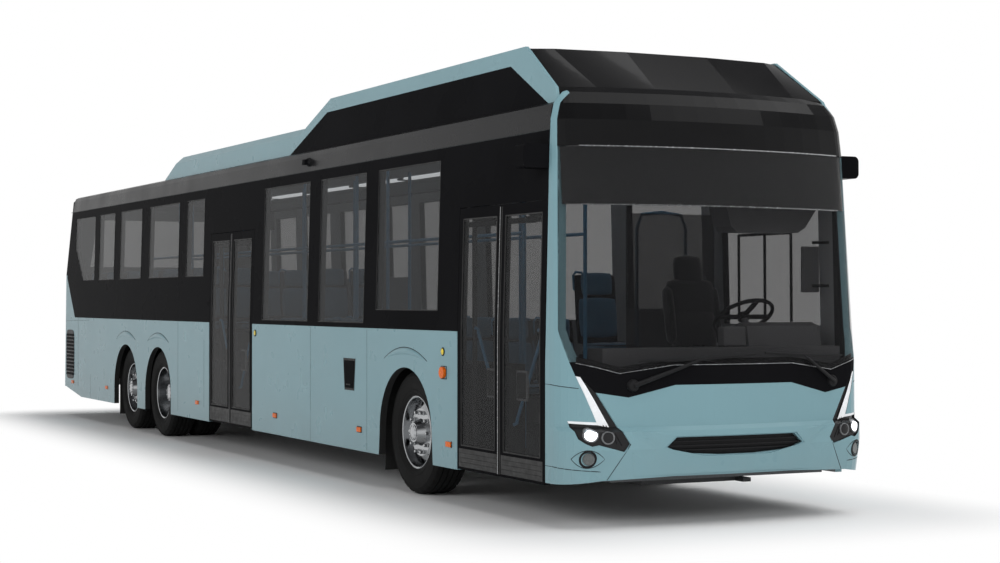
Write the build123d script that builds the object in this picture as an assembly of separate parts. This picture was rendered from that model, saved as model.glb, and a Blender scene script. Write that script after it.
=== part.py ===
from build123d import *
from collections import namedtuple
from math import asin, cos, pi, radians, sin, sqrt, tan
import os

os.makedirs("parts", exist_ok=True)

# City bus, 6x2 low-entry, millimetres. X runs forward, Y to the left, Z up.
# The origin is on the ground under the middle of the bus. Doors are on the right side.

# Overall body
LENGTH = 14900.0
WIDTH = 2550.0
SKIRT_Z = 285.0
WAIST_Z = 1350.0
CANTRAIL_Z = 2790.0
EAVES_Z = 2930.0
ROOF_Z = 2990.0
LEAN_DEG = 1.5
WALL = 60.0
ROOF_T = 90.0
FIT = 0.3
MOVE = 5.0

HALF_W = WIDTH / 2
NOSE_X = LENGTH / 2
TAIL_X = -LENGTH / 2
LEAN = tan(radians(LEAN_DEG))
INNER_Y = HALF_W - WALL

# Wheels
TYRE_R = 505.0
TYRE_W = 295.0
RIM_R = 297.0
TRACK_Y = 1047.5
TWIN_OUTER_Y = 1077.5
TWIN_PITCH = 330.0
KINGPIN_Y = 960.0
SPINDLE_R = 35.0
ARCH_R = 535.0

Axle = namedtuple("Axle", "name x flare")
FRONT = Axle("front", 4480.0, 40.0)
DRIVE = Axle("drive", -2750.0, 0.0)
TAG = Axle("tag", -4170.0, 0.0)
AXLES = (FRONT, DRIVE, TAG)

# Floors and chassis
FLOOR_Z = 360.0
DECK_Z = 900.0
FLOOR_T = 40.0
STEP_X = -950.0
CAB_Z = 690.0
RAIL_Y = 400.0
RAIL_W = 80.0
HOUSING_Z = 1060.0
SHEET = 15.0
FRONT_WELL_Y = 500.0
FRONT_WELL_X = 605.0
REAR_WELL_Y = 575.0
REAR_WELL_X = 565.0

# Side doors
DOOR_TOP_Z = 2300.0
DOOR_FOOT_Z = 295.0
LEAF_T = 45.0
ARM_L = 320.0
POST_INSET = 85.0
POST_Y = 1165.0
POST_R = 20.0
PIN_R = 9.0
GEAR_DEPTH = 120.0
GEAR_H = 180.0
Doorway = namedtuple("Doorway", "name x0 x1")
DOORWAYS = (Doorway("front", 5488.0, 6936.0), Doorway("mid", -786.0, 634.0))

# Nose and tail
FRONT_JOINT_X = 6940.0
SHELL_BACK_X = 6400.0
BOW_R = 3870.0
BUMPER_BOW_R = 5200.0
NOSE_R = 283.0
CORNER_STEPS = 6
BOW_STEPS = 6
DOME_R = 180.0
BUMPER_Z = 560.0
LEDGE_Z = 684.0
LEDGE_H = 30.0
SCREEN_FOOT_Z = 1137.0
SCREEN_TOP_Z = 2670.0
DOME_Z = 2860.0
DOME_TOP_Z = 3105.0
Level = namedtuple("Level", "z x corner tuck bow")
NOSE_LEVELS = (
    Level(SKIRT_Z, NOSE_X - 55, NOSE_R, 0, BUMPER_BOW_R),
    Level(BUMPER_Z, NOSE_X, NOSE_R, 0, BUMPER_BOW_R),
    Level(LEDGE_Z, NOSE_X - 2, NOSE_R, 0, BUMPER_BOW_R),
    Level(LEDGE_Z + LEDGE_H, NOSE_X - 22, NOSE_R, 0, BOW_R),
    Level(SCREEN_FOOT_Z, NOSE_X - 25, NOSE_R, 0, BOW_R),
    Level(SCREEN_TOP_Z, NOSE_X - 183, DOME_R, 0, BOW_R),
    Level(DOME_Z, NOSE_X - 212, DOME_R, 0, BOW_R),
    Level(DOME_TOP_Z - 130, NOSE_X - 255, DOME_R, 8, BOW_R),
    Level(DOME_TOP_Z - 45, NOSE_X - 320, DOME_R, 35, BOW_R),
    Level(DOME_TOP_Z, NOSE_X - 400, DOME_R, 80, BOW_R),
)
TAIL_FOOT_Z = 395.0
TAIL_BEND_Z = 1930.0
TAIL_LEAN = 300.0
TAIL_R = 110.0
TAIL_T = 80.0
TAIL_JOINT = 160.0
TAIL_LEVELS = (
    Level(TAIL_FOOT_Z, TAIL_X, TAIL_R, 0, None),
    Level(TAIL_BEND_Z, TAIL_X, TAIL_R, 0, None),
    Level(EAVES_Z, TAIL_X + TAIL_LEAN - 20, TAIL_R, 6, None),
    Level(ROOF_Z, TAIL_X + TAIL_LEAN + 45, TAIL_R, 52, None),
)

# Roof fairing
FAIRING_Z = 3455.0
FAIRING_FOOT_Y = 1175.0
FAIRING_TOP_Y = 1115.0
FAIRING_T = 25.0
HOOD_Z = 3440.0


def wall_y(z):
    """Half width of the outer side skin at a height."""
    return HALF_W - max(0.0, z - WAIST_Z) * LEAN


def block(x0, x1, y0, y1, z0, z1):
    return Pos((x0 + x1) / 2, (y0 + y1) / 2, (z0 + z1) / 2) * Box(abs(x1 - x0), abs(y1 - y0), abs(z1 - z0))


def prism(points, along):
    return Solid.extrude(Face(Wire.make_polygon(points)), along)


def prism_x(outline, x0, x1):
    """Prism of a y-z outline between two x planes."""
    return prism([(x0, y, z) for y, z in outline], (x1 - x0, 0, 0))


def prism_y(outline, y0, y1):
    """Prism of an x-z outline between two y planes."""
    return prism([(x, y0, z) for x, z in outline], (0, y1 - y0, 0))


def prism_z(outline, z0, z1):
    """Prism of an x-y outline between two heights."""
    return prism([(x, y, z0) for x, y in outline], (0, 0, z1 - z0))


def rod(start, end, radius):
    start = Vector(*start)
    run = Vector(*end) - start
    return Solid.make_cylinder(radius, run.length, Plane(start, z_dir=run))


def mirrored(shape):
    return mirror(shape, about=Plane.XZ)


def solids_of(*shapes):
    return [solid for shape in shapes for solid in shape.solids()]


def save(node, *shapes):
    export_step(Compound(children=solids_of(*shapes)), f"parts/{node}.step")


def tail_x(z):
    """Outer face of the rear wall at a height."""
    rise = max(0.0, z - TAIL_BEND_Z) / (ROOF_Z - TAIL_BEND_Z)
    return TAIL_X + TAIL_LEAN * rise


def nose_corner(level):
    """Middle of the corner arc between the bow and the flank."""
    corner_y = wall_y(level.z) - level.tuck - level.corner
    return level.x - level.bow + sqrt((level.bow - level.corner) ** 2 - corner_y**2), corner_y


def arc(centre, radius, start, end, steps):
    """Points along a plan arc, both ends included."""
    angles = [start + (end - start) * step / steps for step in range(steps + 1)]
    return [(centre[0] + radius * cos(angle), centre[1] + radius * sin(angle)) for angle in angles]


def plan_wire(left, z):
    """Closed plan outline from its left half, which ends on the middle line or short of it."""
    right = [(x, -y) for x, y in reversed(left) if y > 0]
    return Wire.make_polygon([(x, y, z) for x, y in left + right])


# Nose shell: plan outlines of a flank, a corner arc and a bow
def nose_ring(level, inset, z):
    corner_x, corner_y = nose_corner(level)
    meet = asin(corner_y / (level.bow - level.corner))
    left = [(SHELL_BACK_X, corner_y + level.corner - inset)]
    left += arc((corner_x, corner_y), level.corner - inset, pi / 2, meet, CORNER_STEPS)
    left += arc((level.x - level.bow, 0), level.bow - inset, meet, 0, BOW_STEPS)[1:]
    return plan_wire(left, z)


def bow_x(level, y):
    """Front of the bow at a level and a width."""
    corner_y = nose_corner(level)[1]
    meet = asin(corner_y / (level.bow - level.corner))
    points = arc((level.x - level.bow, 0), level.bow, meet, 0, BOW_STEPS)
    for outer, inner in zip(points, points[1:]):
        if abs(y) >= inner[1]:
            return inner[0] + (outer[0] - inner[0]) * (abs(y) - inner[1]) / (outer[1] - inner[1])


def nose_x(y, z):
    """Outer face of the nose on the bow at a width and height."""
    for low, high in zip(NOSE_LEVELS, NOSE_LEVELS[1:]):
        if z <= high.z:
            part = (z - low.z) / (high.z - low.z)
            return bow_x(low, y) + (bow_x(high, y) - bow_x(low, y)) * part


def tail_ring(level, inset, z):
    half = wall_y(level.z) - level.tuck - inset
    turn = level.corner - inset
    left = [(TAIL_X + 2 * TAIL_JOINT + TAIL_LEAN, half)]
    left += arc((level.x + level.corner, half - turn), turn, pi / 2, pi, CORNER_STEPS)
    return plan_wire(left, z)


def shell(ring, levels, outer, inner, roof_t):
    """Wall between two depths under the skin; the roof of it is roof_t thick."""
    skin = Solid.make_loft([ring(level, outer, level.z) for level in levels], True)
    heights = [level.z for level in levels]
    heights[0] -= 1
    heights[-1] -= roof_t
    heights[-2] -= roof_t
    core = Solid.make_loft([ring(level, inner, z) for level, z in zip(levels, heights)], True)
    return skin - core


tail_zone = [
    (TAIL_X - 500, 0),
    (TAIL_X + TAIL_JOINT, 0),
    (TAIL_X + TAIL_JOINT, TAIL_BEND_Z),
    (TAIL_X + TAIL_JOINT + TAIL_LEAN, ROOF_Z),
    (TAIL_X + TAIL_JOINT + TAIL_LEAN, ROOF_Z + 50),
    (TAIL_X - 500, ROOF_Z + 50),
]
tail_cut = prism_y(tail_zone, -WIDTH, WIDTH)


# Side walls
def side_slab(side, z0, z1, outer, inner):
    """Side wall between two depths under the skin, upright to the waist and leaning in above it."""
    levels = [z0, WAIST_Z, z1]
    ring = [(side * (wall_y(z) - outer), z) for z in levels]
    ring += [(side * (wall_y(z) - inner), z) for z in reversed(levels)]
    return prism_x(ring, TAIL_X, FRONT_JOINT_X)


WAIST_KNEE_X = -6795.0
WAIST_END_X = -7323.0
SKIRT_KINK_X = -6423.0
TAIL_JOINT_X = TAIL_X + TAIL_JOINT
knee_z = WAIST_Z + (TAIL_BEND_Z - WAIST_Z) * (WAIST_KNEE_X - TAIL_JOINT_X) / (WAIST_KNEE_X - WAIST_END_X)

front_door, mid_door = DOORWAYS


def skirt_outline(x0, x1):
    """Skirt panel from the tail or a door post to the next door post."""
    if x0 > TAIL_JOINT_X:
        return [(x0, SKIRT_Z), (x1, SKIRT_Z), (x1, WAIST_Z), (x0, WAIST_Z)]
    return [
        (TAIL_JOINT_X, TAIL_FOOT_Z),
        (SKIRT_KINK_X, SKIRT_Z),
        (x1, SKIRT_Z),
        (x1, WAIST_Z),
        (WAIST_KNEE_X, WAIST_Z),
        (TAIL_JOINT_X, knee_z),
    ]


def band_outline(doors):
    """Window band over the skirts, stepped up over each doorway."""
    ring = [(TAIL_JOINT_X, knee_z), (WAIST_KNEE_X, WAIST_Z)]
    for door in doors:
        ring += [(door.x0, WAIST_Z), (door.x0, DOOR_TOP_Z), (door.x1, DOOR_TOP_Z)]
        if door.x1 < front_door.x0:
            ring += [(door.x1, WAIST_Z)]
    if doors:
        ring += [(FRONT_JOINT_X, DOOR_TOP_Z)]
    else:
        ring += [(FRONT_JOINT_X, WAIST_Z)]
    ring += [(FRONT_JOINT_X, CANTRAIL_Z)]
    ring += [(tail_x(CANTRAIL_Z) + TAIL_JOINT, CANTRAIL_Z), (TAIL_JOINT_X, TAIL_BEND_Z)]
    return ring


Pane = namedtuple("Pane", "x0 x1 z0 z1")
REAR_SILL_Z = 1850.0
SILL_Z = 1395.0
HEAD_Z = 2690.0
REAR_PANES = [
    Pane(-5570, -4800, REAR_SILL_Z, HEAD_Z),
    Pane(-4530, -3540, REAR_SILL_Z, HEAD_Z),
    Pane(-3200, -1980, REAR_SILL_Z, HEAD_Z),
    Pane(-1690, -1040, REAR_SILL_Z, HEAD_Z),
]
MID_PANES = [
    Pane(930, 2200, SILL_Z, HEAD_Z),
    Pane(2490, 3575, SILL_Z, HEAD_Z),
    Pane(3855, 5110, 1510, HEAD_Z),
]
LEFT_PANES = [
    Pane(-760, 640, SILL_Z, HEAD_Z),
    Pane(5420, 6760, SILL_Z, 2560),
]
quarter_pane = [(-6840, HEAD_Z), (-6840, 2290), (-6400, REAR_SILL_Z), (-5800, REAR_SILL_Z), (-5800, HEAD_Z)]


def pane_outline(pane, grow):
    x0, x1 = pane.x0 - grow, pane.x1 + grow
    z0, z1 = pane.z0 - grow, pane.z1 + grow
    return [(x0, z0), (x1, z0), (x1, z1), (x0, z1)]


def window_outlines(side, grow):
    panes = REAR_PANES + MID_PANES + (LEFT_PANES if side > 0 else [])
    outlines = [pane_outline(pane, grow) for pane in panes]
    middle_x, middle_z = -6200, 2300
    slope = 1 + grow / 390
    outlines.append([(middle_x + (x - middle_x) * slope, middle_z + (z - middle_z) * slope)
                     for x, z in quarter_pane])
    return outlines


def arch_outline(axle):
    foot = ARCH_R + axle.flare
    return [(axle.x - ARCH_R, TYRE_R), (axle.x - foot, 0), (axle.x + foot, 0), (axle.x + ARCH_R, TYRE_R)]


skirts = []
bands = []
panes = []
for side in (-1, 1):
    y0, y1 = side * (INNER_Y - 100), side * (HALF_W + 100)
    slab = side_slab(side, SKIRT_Z - 1, CANTRAIL_Z, 0, WALL)
    glazing = side_slab(side, SKIRT_Z, CANTRAIL_Z, 2, 10)
    doors = sorted(DOORWAYS, key=lambda door: door.x0) if side < 0 else []
    edges = [TAIL_JOINT_X] + [x for door in doors for x in (door.x0, door.x1)]
    edges += [FRONT_JOINT_X] if not doors else []
    for x0, x1 in zip(edges[0::2], edges[1::2]):
        skirt = slab & prism_y(skirt_outline(x0, x1), y0, y1)
        for axle in AXLES:
            skirt -= rod((axle.x, y0, TYRE_R), (axle.x, y1, TYRE_R), ARCH_R)
            skirt -= prism_y(arch_outline(axle), y0, y1)
        skirts.append(skirt)
    band = slab & prism_y(band_outline(doors), y0, y1)
    for outline in window_outlines(side, 0):
        band -= prism_y(outline, y0, y1)
    for door in doors:
        gear_y0, gear_y1 = side * wall_y(CANTRAIL_Z), side * (POST_Y - GEAR_DEPTH)
        gear = block(door.x0, min(door.x1, FRONT_JOINT_X), gear_y0, gear_y1, DOOR_TOP_Z, DOOR_TOP_Z + GEAR_H)
        band += gear & side_slab(side, SKIRT_Z, CANTRAIL_Z, WALL - 1, 300)
    posts = [x for door in doors for x in (door.x0, door.x1) if x < FRONT_JOINT_X - WALL]
    for x0, x1 in zip([TAIL_X] + posts, posts + [FRONT_JOINT_X]):
        bands.append(band & block(x0, x1 - FIT, -WIDTH, WIDTH, 0, ROOF_Z))
    for outline in window_outlines(side, -FIT):
        panes.append(glazing & prism_y(outline, y0, y1))
save("skirts", *skirts)
save("window_bands", *bands)

# Roof
eaves = [
    (wall_y(CANTRAIL_Z), CANTRAIL_Z),
    (wall_y(EAVES_Z) - 6, EAVES_Z),
    (wall_y(EAVES_Z) - 20, ROOF_Z - 18),
    (wall_y(ROOF_Z) - 52, ROOF_Z),
]
ceiling = [(INNER_Y - 140, ROOF_Z - ROOF_T), (INNER_Y - 40, CANTRAIL_Z + 20), (INNER_Y - 40, CANTRAIL_Z)]
half_roof = eaves + [(-y, z) for y, z in reversed(eaves)]
half_roof += [(-y, z) for y, z in reversed(ceiling)] + ceiling
roof = prism_x(half_roof, TAIL_X, FRONT_JOINT_X) - tail_cut
save("roof", roof)

# Nose panels, cut from the shell by outlines seen from the front: y and z on the left half
SCREEN_EDGE = [(500, SCREEN_FOOT_Z), (894, 1082), (1213, 1163)]
MASK_EDGE = [(488, 1000), (832, 917), (1055, 952)]
BLADE_TOP = [(1183, 1067), (1155, 1061)]
BLADE_FOOT = [(1056, 749), (966, 713)]
LAMP_EDGE = [(1223, 757), (1204, 675), (1190, 635), (1151, 604), (1108, 584), (1063, 594), (882, 544)]
LAMP_TIP = (840, 598)
LAMP_BAR = [(1223, 757), (1221, 740), (1050, 729)]
PANEL_FOOT = [(994, 351), (1030, 0)]
NOSE_FOOT = [(500, 365), (1030, 345), (HALF_W + 100, 300), (HALF_W + 100, 0)]
GRILLE = [(495, 637), (570, 571), (461, 527), (144, 508)]
SLAT_ZS = (545.0, 575.0, 605.0)
SLAT_H = 9.0
LENSES = [(1118, 664, 44), (1000, 645, 40)]
# Front edge of the corner pillars seen from the side: x and z
PILLAR_EDGE = [(7176, 1163), (7082, 1383), (7054, 1940), (7017, 2640), (6965, DOME_TOP_Z + 50)]
PILLAR_Y = 1100.0
LAMP_BACK_X = 7060.0
FOG_TURN = radians(30)
FOG_Z = 497.0
FOG_R = 46.0
FOG_DEPTH = 25.0
REACH = NOSE_X + 100


def front_view(half):
    """Prism through the nose of a front-view outline given on the left and mirrored."""
    ring = half + [(-y, z) for y, z in reversed(half)]
    return prism_x(ring, SHELL_BACK_X, REACH)


def nose_shell(outer, inner):
    front = block(FRONT_JOINT_X, REACH, -WIDTH, WIDTH, 0, DOME_TOP_Z + 50)
    return (shell(nose_ring, NOSE_LEVELS, outer, inner, WALL) & front) - front_view(NOSE_FOOT)


nose_wall = nose_shell(0, WALL)
pillar_foot_z = PILLAR_EDGE[0][1]
pillar_back = [(FRONT_JOINT_X - 10, DOME_TOP_Z + 50), (FRONT_JOINT_X - 10, pillar_foot_z)]
pillar_zone = prism_y(PILLAR_EDGE + pillar_back, PILLAR_Y, WIDTH)
pillar_zones = pillar_zone + mirrored(pillar_zone)
above = [(WIDTH, SCREEN_TOP_Z), (WIDTH, pillar_foot_z)]
screen = front_view(above + SCREEN_EDGE[::-1]) - pillar_zones
dome = front_view([(WIDTH, DOME_TOP_Z + 50), (WIDTH, SCREEN_TOP_Z)]) - pillar_zones
base = front_view(SCREEN_EDGE + BLADE_TOP + MASK_EDGE[::-1])
panel = front_view(MASK_EDGE + [LAMP_TIP, LAMP_EDGE[-1]] + PANEL_FOOT)
low_middle = front_view([SCREEN_EDGE[-1], BLADE_TOP[0], BLADE_FOOT[0]] + LAMP_EDGE + PANEL_FOOT)
below = block(SHELL_BACK_X, REACH, -WIDTH, WIDTH, 0, pillar_foot_z)
corners = (nose_wall & pillar_zones) + ((nose_wall & below) - low_middle)
grille_hole = front_view(GRILLE)
front_panel = (nose_wall & panel) - grille_hole

# Lamp units: a sunk housing, a raised light blade with its bar, and two round lenses
housing = nose_shell(14, WALL - 10)
raised = nose_shell(3, WALL - 10)
unit_ring = [BLADE_TOP[0], BLADE_FOOT[0]] + LAMP_EDGE + [LAMP_TIP, MASK_EDGE[-1], BLADE_TOP[1]]
unit = prism_x(unit_ring, LAMP_BACK_X, REACH)
blade = prism_x([BLADE_TOP[0], BLADE_FOOT[0]] + LAMP_BAR + [BLADE_FOOT[1], BLADE_TOP[1]], LAMP_BACK_X, REACH)
lamp = (housing & unit) + (raised & blade & unit)
for y, z, radius in LENSES:
    lamp += nose_shell(6, WALL - 10) & rod((LAMP_BACK_X, y, z), (REACH, y, z), radius)
lamps = [lamp, mirrored(lamp)]

# Round fog lamps sunk into the corners
fog_x, fog_y = nose_corner(NOSE_LEVELS[1])
fog_way = Vector(cos(FOG_TURN), sin(FOG_TURN), 0)
fog_at = Vector(fog_x, fog_y, FOG_Z) + fog_way * NOSE_R
sunk = fog_at - fog_way * FOG_DEPTH
recess = Solid.make_cylinder(FOG_R, 3 * FOG_DEPTH, Plane(sunk, z_dir=fog_way))
fog = Solid.make_cylinder(FOG_R - 5, FOG_DEPTH / 2, Plane(sunk + fog_way * FIT, z_dir=fog_way))
corners = corners - recess - mirrored(recess)
lamps += [fog, mirrored(fog)]

save("front_corners", corners)
save("front_panel", front_panel)
save("front_mask", nose_wall & base, nose_wall & dome)
save("windscreen", nose_shell(2, 12) & screen)
save("headlamps", *lamps)
grille = nose_shell(34, WALL - 10) & grille_hole
slats = nose_shell(16, WALL - 20) & grille_hole
for z in SLAT_ZS:
    grille += slats & block(SHELL_BACK_X, REACH, -WIDTH, WIDTH, z - SLAT_H / 2, z + SLAT_H / 2)
save("grille", grille)

# Tail
tail_wall = shell(tail_ring, TAIL_LEVELS, 0, TAIL_T, ROOF_T) & tail_cut
tail_glass = shell(tail_ring, TAIL_LEVELS, 2, 10, ROOF_T) & tail_cut
HATCH_Y = 760.0
HATCH_Z0 = 560.0
HATCH_Z1 = 1500.0
HATCH_T = 40.0
HINGE_R = 8.0
HINGE_X = TAIL_X + 24
HINGE_Z = HATCH_Z1 + HINGE_R / 2
EAR_Y = 500.0
EAR_W = 60.0
EAR_R = 18.0
EAR_TOP_Z = HINGE_Z + 34
REAR_PANE_Y = 930.0
REAR_PANE_TOP_Y = 880.0
REAR_PANE_Z0 = 2050.0
REAR_PANE_Z1 = 2700.0
LAMP_Y0 = 1010.0
LAMP_Y1 = 1110.0
LAMP_Z0 = 760.0
LAMP_Z1 = 1500.0
LAMP_DEPTH = 40.0


def rear_pane(shrink):
    low_y, top_y = REAR_PANE_Y - shrink, REAR_PANE_TOP_Y - shrink
    z0, z1 = REAR_PANE_Z0 + shrink, REAR_PANE_Z1 - shrink
    ring = [(-low_y, z0), (low_y, z0), (top_y, z1), (-top_y, z1)]
    return prism_x(ring, TAIL_X - 50, TAIL_X + 2 * TAIL_LEAN)


def rear_lamp(side, back, shrink):
    y0, y1 = side * (LAMP_Y0 + shrink), side * (LAMP_Y1 - shrink)
    return block(back, TAIL_X + LAMP_DEPTH - shrink, y0, y1, LAMP_Z0 + shrink, LAMP_Z1 - shrink)


hatch_y = HATCH_Y + MOVE
tail_wall -= block(TAIL_X - 50, TAIL_X + 200, -hatch_y, hatch_y, HATCH_Z0 - MOVE, EAR_TOP_Z)
tail_wall -= rear_pane(0)
rear_lamps = []
for side in (-1, 1):
    tail_wall -= rear_lamp(side, TAIL_X - 50, 0)
    rear_lamps.append(rear_lamp(side, TAIL_X, FIT))
    ear_y0, ear_y1 = side * EAR_Y - EAR_W / 2, side * EAR_Y + EAR_W / 2
    ear = rod((HINGE_X, ear_y0, HINGE_Z), (HINGE_X, ear_y1, HINGE_Z), EAR_R)
    ear += block(HINGE_X, HINGE_X + 2 * EAR_R, ear_y0, ear_y1, HINGE_Z, EAR_TOP_Z)
    ear -= rod((HINGE_X, ear_y0 - 10, HINGE_Z), (HINGE_X, ear_y1 + 10, HINGE_Z), HINGE_R + FIT)
    tail_wall += ear
save("rear_wall", tail_wall)
save("rear_lamps", *rear_lamps)
panes.append(tail_glass & rear_pane(FIT))
save("saloon_glass", *panes)

hatch = block(TAIL_X + 4, TAIL_X + 4 + HATCH_T, -HATCH_Y, HATCH_Y, HATCH_Z0, HATCH_Z1)
for side in (-1, 1):
    room = EAR_W / 2 + MOVE
    notch_y0, notch_y1 = side * EAR_Y - room, side * EAR_Y + room
    hatch -= block(TAIL_X - 20, TAIL_X + 2 * HATCH_T, notch_y0, notch_y1, HATCH_Z1 - EAR_R - MOVE, HATCH_Z1)
hatch += rod((HINGE_X, -HATCH_Y, HINGE_Z), (HINGE_X, HATCH_Y, HINGE_Z), HINGE_R)
save("rear_hatch", hatch)

# Wheel housings and mud flaps
well_z = FLOOR_Z - FLOOR_T
Well = namedtuple("Well", "x0 x1 y z0")
FRONT_WELL = Well(FRONT.x - FRONT_WELL_X, FRONT.x + FRONT_WELL_X, FRONT_WELL_Y, well_z)
REAR_WELL = Well(TAG.x - REAR_WELL_X, DRIVE.x + REAR_WELL_X, REAR_WELL_Y, 600.0)
WELLS = (FRONT_WELL, REAR_WELL)


def well_block(well, side, z0, grow):
    return block(well.x0 - grow, well.x1 + grow, side * (well.y - grow), side * INNER_Y, z0, HOUSING_Z + grow)


housings = []
for well in WELLS:
    for side in (-1, 1):
        inside = block(well.x0, well.x1, side * well.y, side * WIDTH, 0, HOUSING_Z)
        housings.append(well_block(well, side, well.z0, SHEET) - inside)
        flap = block(well.x0 + FIT, well.x0 + 10, side * 890, side * 1195, 150, well.z0 + 200)
        housings.append(flap)
save("wheel_housings", *housings)

# Floor panels, steps and driver's platform
Panel = namedtuple("Panel", "x0 x1 y0 y1 z0 z1")
floor_y = INNER_Y - FIT
deck_under = DECK_Z - FLOOR_T
rear_x0, rear_x1, rear_y = REAR_WELL.x0 - SHEET, REAR_WELL.x1 + SHEET, REAR_WELL.y - SHEET
fore_x0, fore_x1, fore_y = FRONT_WELL.x0 - SHEET, FRONT_WELL.x1 + SHEET, FRONT_WELL.y - SHEET
PANELS = (
    Panel(TAIL_JOINT_X, rear_x0, -floor_y, floor_y, deck_under, DECK_Z),
    Panel(rear_x0, rear_x1, -rear_y, rear_y, deck_under, DECK_Z),
    Panel(rear_x1, STEP_X - FLOOR_T, -floor_y, floor_y, deck_under, DECK_Z),
    Panel(STEP_X - FLOOR_T, STEP_X, -floor_y, floor_y, well_z, DECK_Z),
    Panel(STEP_X, fore_x0, -floor_y, floor_y, well_z, FLOOR_Z),
    Panel(fore_x0, fore_x1, -fore_y, fore_y, well_z, FLOOR_Z),
    Panel(fore_x1, FRONT_JOINT_X, -floor_y, floor_y, well_z, FLOOR_Z),
    Panel(FRONT_JOINT_X, FRONT_JOINT_X + 260, -900, 900, well_z, FLOOR_Z),
    Panel(STEP_X, STEP_X + 300, -400, 400, FLOOR_Z, (FLOOR_Z + DECK_Z) / 2),
    Panel(5300, 6900, 300, floor_y, FLOOR_Z, CAB_Z),
)
floor = [block(p.x0 + FIT, p.x1, p.y0, p.y1, p.z0 + FIT, p.z1) for p in PANELS]
save("floor", *floor)

# Chassis rails under the low floor and under the deck
RAIL_H = 70.0
DECK_RAIL_H = 220.0
rail_foot = deck_under - DECK_RAIL_H
JACK_X = -5600.0
JACK_L = 120.0
JACK_H = 12.0
AXLE_ROOM = 130.0
NOSE_RAIL_X = 6850.0
TOW_L = 110.0
TOW_W = 70.0
TOW_T = 30.0
TOW_R = 20.0
TOW_X = NOSE_RAIL_X + TOW_L
rail_under = well_z - RAIL_H
rails = []
for x0, x1 in ((STEP_X, FRONT.x - AXLE_ROOM), (FRONT.x + AXLE_ROOM, NOSE_RAIL_X)):
    frame = block(x0, x0 + RAIL_W, -RAIL_Y, RAIL_Y, rail_under, well_z)
    frame += block(x1 - RAIL_W, x1, -RAIL_Y, RAIL_Y, rail_under, well_z)
    for side in (-1, 1):
        y0, y1 = side * (RAIL_Y - RAIL_W / 2), side * (RAIL_Y + RAIL_W / 2)
        frame += block(x0, x1, y0, y1, rail_under, well_z)
    rails.append(frame)
tow_bore_x = TOW_X - TOW_L / 2
lug = block(NOSE_RAIL_X, TOW_X, RAIL_Y - TOW_W / 2, RAIL_Y + TOW_W / 2, rail_under, rail_under + TOW_T)
lug -= rod((tow_bore_x, RAIL_Y, rail_under - TOW_T), (tow_bore_x, RAIL_Y, well_z), TOW_R)
rails[-1] += lug
rear_frame = block(STEP_X - FLOOR_T - RAIL_W, STEP_X - FLOOR_T, -RAIL_Y, RAIL_Y, rail_foot, deck_under)
for side in (-1, 1):
    y0, y1 = side * (RAIL_Y - RAIL_W / 2), side * (RAIL_Y + RAIL_W / 2)
    rear_frame += block(TAIL_JOINT_X, STEP_X - FLOOR_T, y0, y1, rail_foot, deck_under)
    rear_frame += block(JACK_X - JACK_L / 2, JACK_X + JACK_L / 2, y0, y1, rail_foot - JACK_H, rail_foot)
for x in (TAIL_JOINT_X, TAG.x - 500, -3500.0):
    rear_frame += block(x, x + RAIL_W, -RAIL_Y, RAIL_Y, rail_foot, deck_under)
rails.append(rear_frame)
save("chassis_frame", *rails)

# Axles. The front beam drops under the floor and carries a king pin at each end.
BEAM_X = 35.0
KNUCKLE_H = 160.0
ARM_T = 40.0
KINGPIN_R = 22.0
fork = KNUCKLE_H / 2 + ARM_T
half_beam = [
    (0, 190),
    (540, 190),
    (730, TYRE_R - fork),
    (KINGPIN_Y + 30, TYRE_R - fork),
    (KINGPIN_Y + 30, TYRE_R + fork),
    (690, TYRE_R + fork),
    (520, 280),
    (0, 280),
]
beam = prism_x(half_beam, FRONT.x - BEAM_X, FRONT.x + BEAM_X)
beam -= block(FRONT.x - 100, FRONT.x + 100, 840, 1200, TYRE_R - KNUCKLE_H / 2, TYRE_R + KNUCKLE_H / 2)
beam += rod((FRONT.x, KINGPIN_Y, TYRE_R - fork), (FRONT.x, KINGPIN_Y, TYRE_R + fork), KINGPIN_R)
front_beam = beam + mirrored(beam)
for side in (-1, 1):
    front_beam += rod((FRONT.x, side * 300, 235), (FRONT.x, side * 300, well_z), 75)
HUB_IN = 70.0
axles = [front_beam]
for axle, inner_y, outer_y, tube_r in ((DRIVE, 560.0, 1090.0, 75.0), (TAG, 860.0, 1140.0, 65.0)):
    tube = rod((axle.x, -inner_y, TYRE_R), (axle.x, inner_y, TYRE_R), tube_r)
    tube += rod((axle.x, -outer_y, TYRE_R), (axle.x, outer_y, TYRE_R), SPINDLE_R)
    for side in (-1, 1):
        tube += rod((axle.x, side * RAIL_Y, TYRE_R), (axle.x, side * RAIL_Y, rail_foot), 95)
    if axle is DRIVE:
        tube += rod((axle.x - 180, 0, TYRE_R), (axle.x + 180, 0, TYRE_R), 170)
    axles.append(tube)
save("axle_beams", *axles)

for side, name in ((-1, "right"), (1, "left")):
    y = side * KINGPIN_Y
    half = KNUCKLE_H / 2 - FIT
    knuckle = rod((FRONT.x, y, TYRE_R - half), (FRONT.x, y, TYRE_R + half), 48)
    knuckle += rod((FRONT.x, y, TYRE_R), (FRONT.x, side * 1145, TYRE_R), SPINDLE_R)
    knuckle -= rod((FRONT.x, y, TYRE_R - 200), (FRONT.x, y, TYRE_R + 200), KINGPIN_R + FIT)
    save(f"knuckle_{name}", knuckle)


# Wheels: profiles of radius and distance outward from the tyre's middle
def turned(profile, x, y, side):
    ring = Wire.make_polygon([(x + r, y + side * out, TYRE_R) for r, out in profile])
    return Solid.revolve(Face(ring), 360, Axis((x, 0, TYRE_R), (0, 1, 0)))


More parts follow.
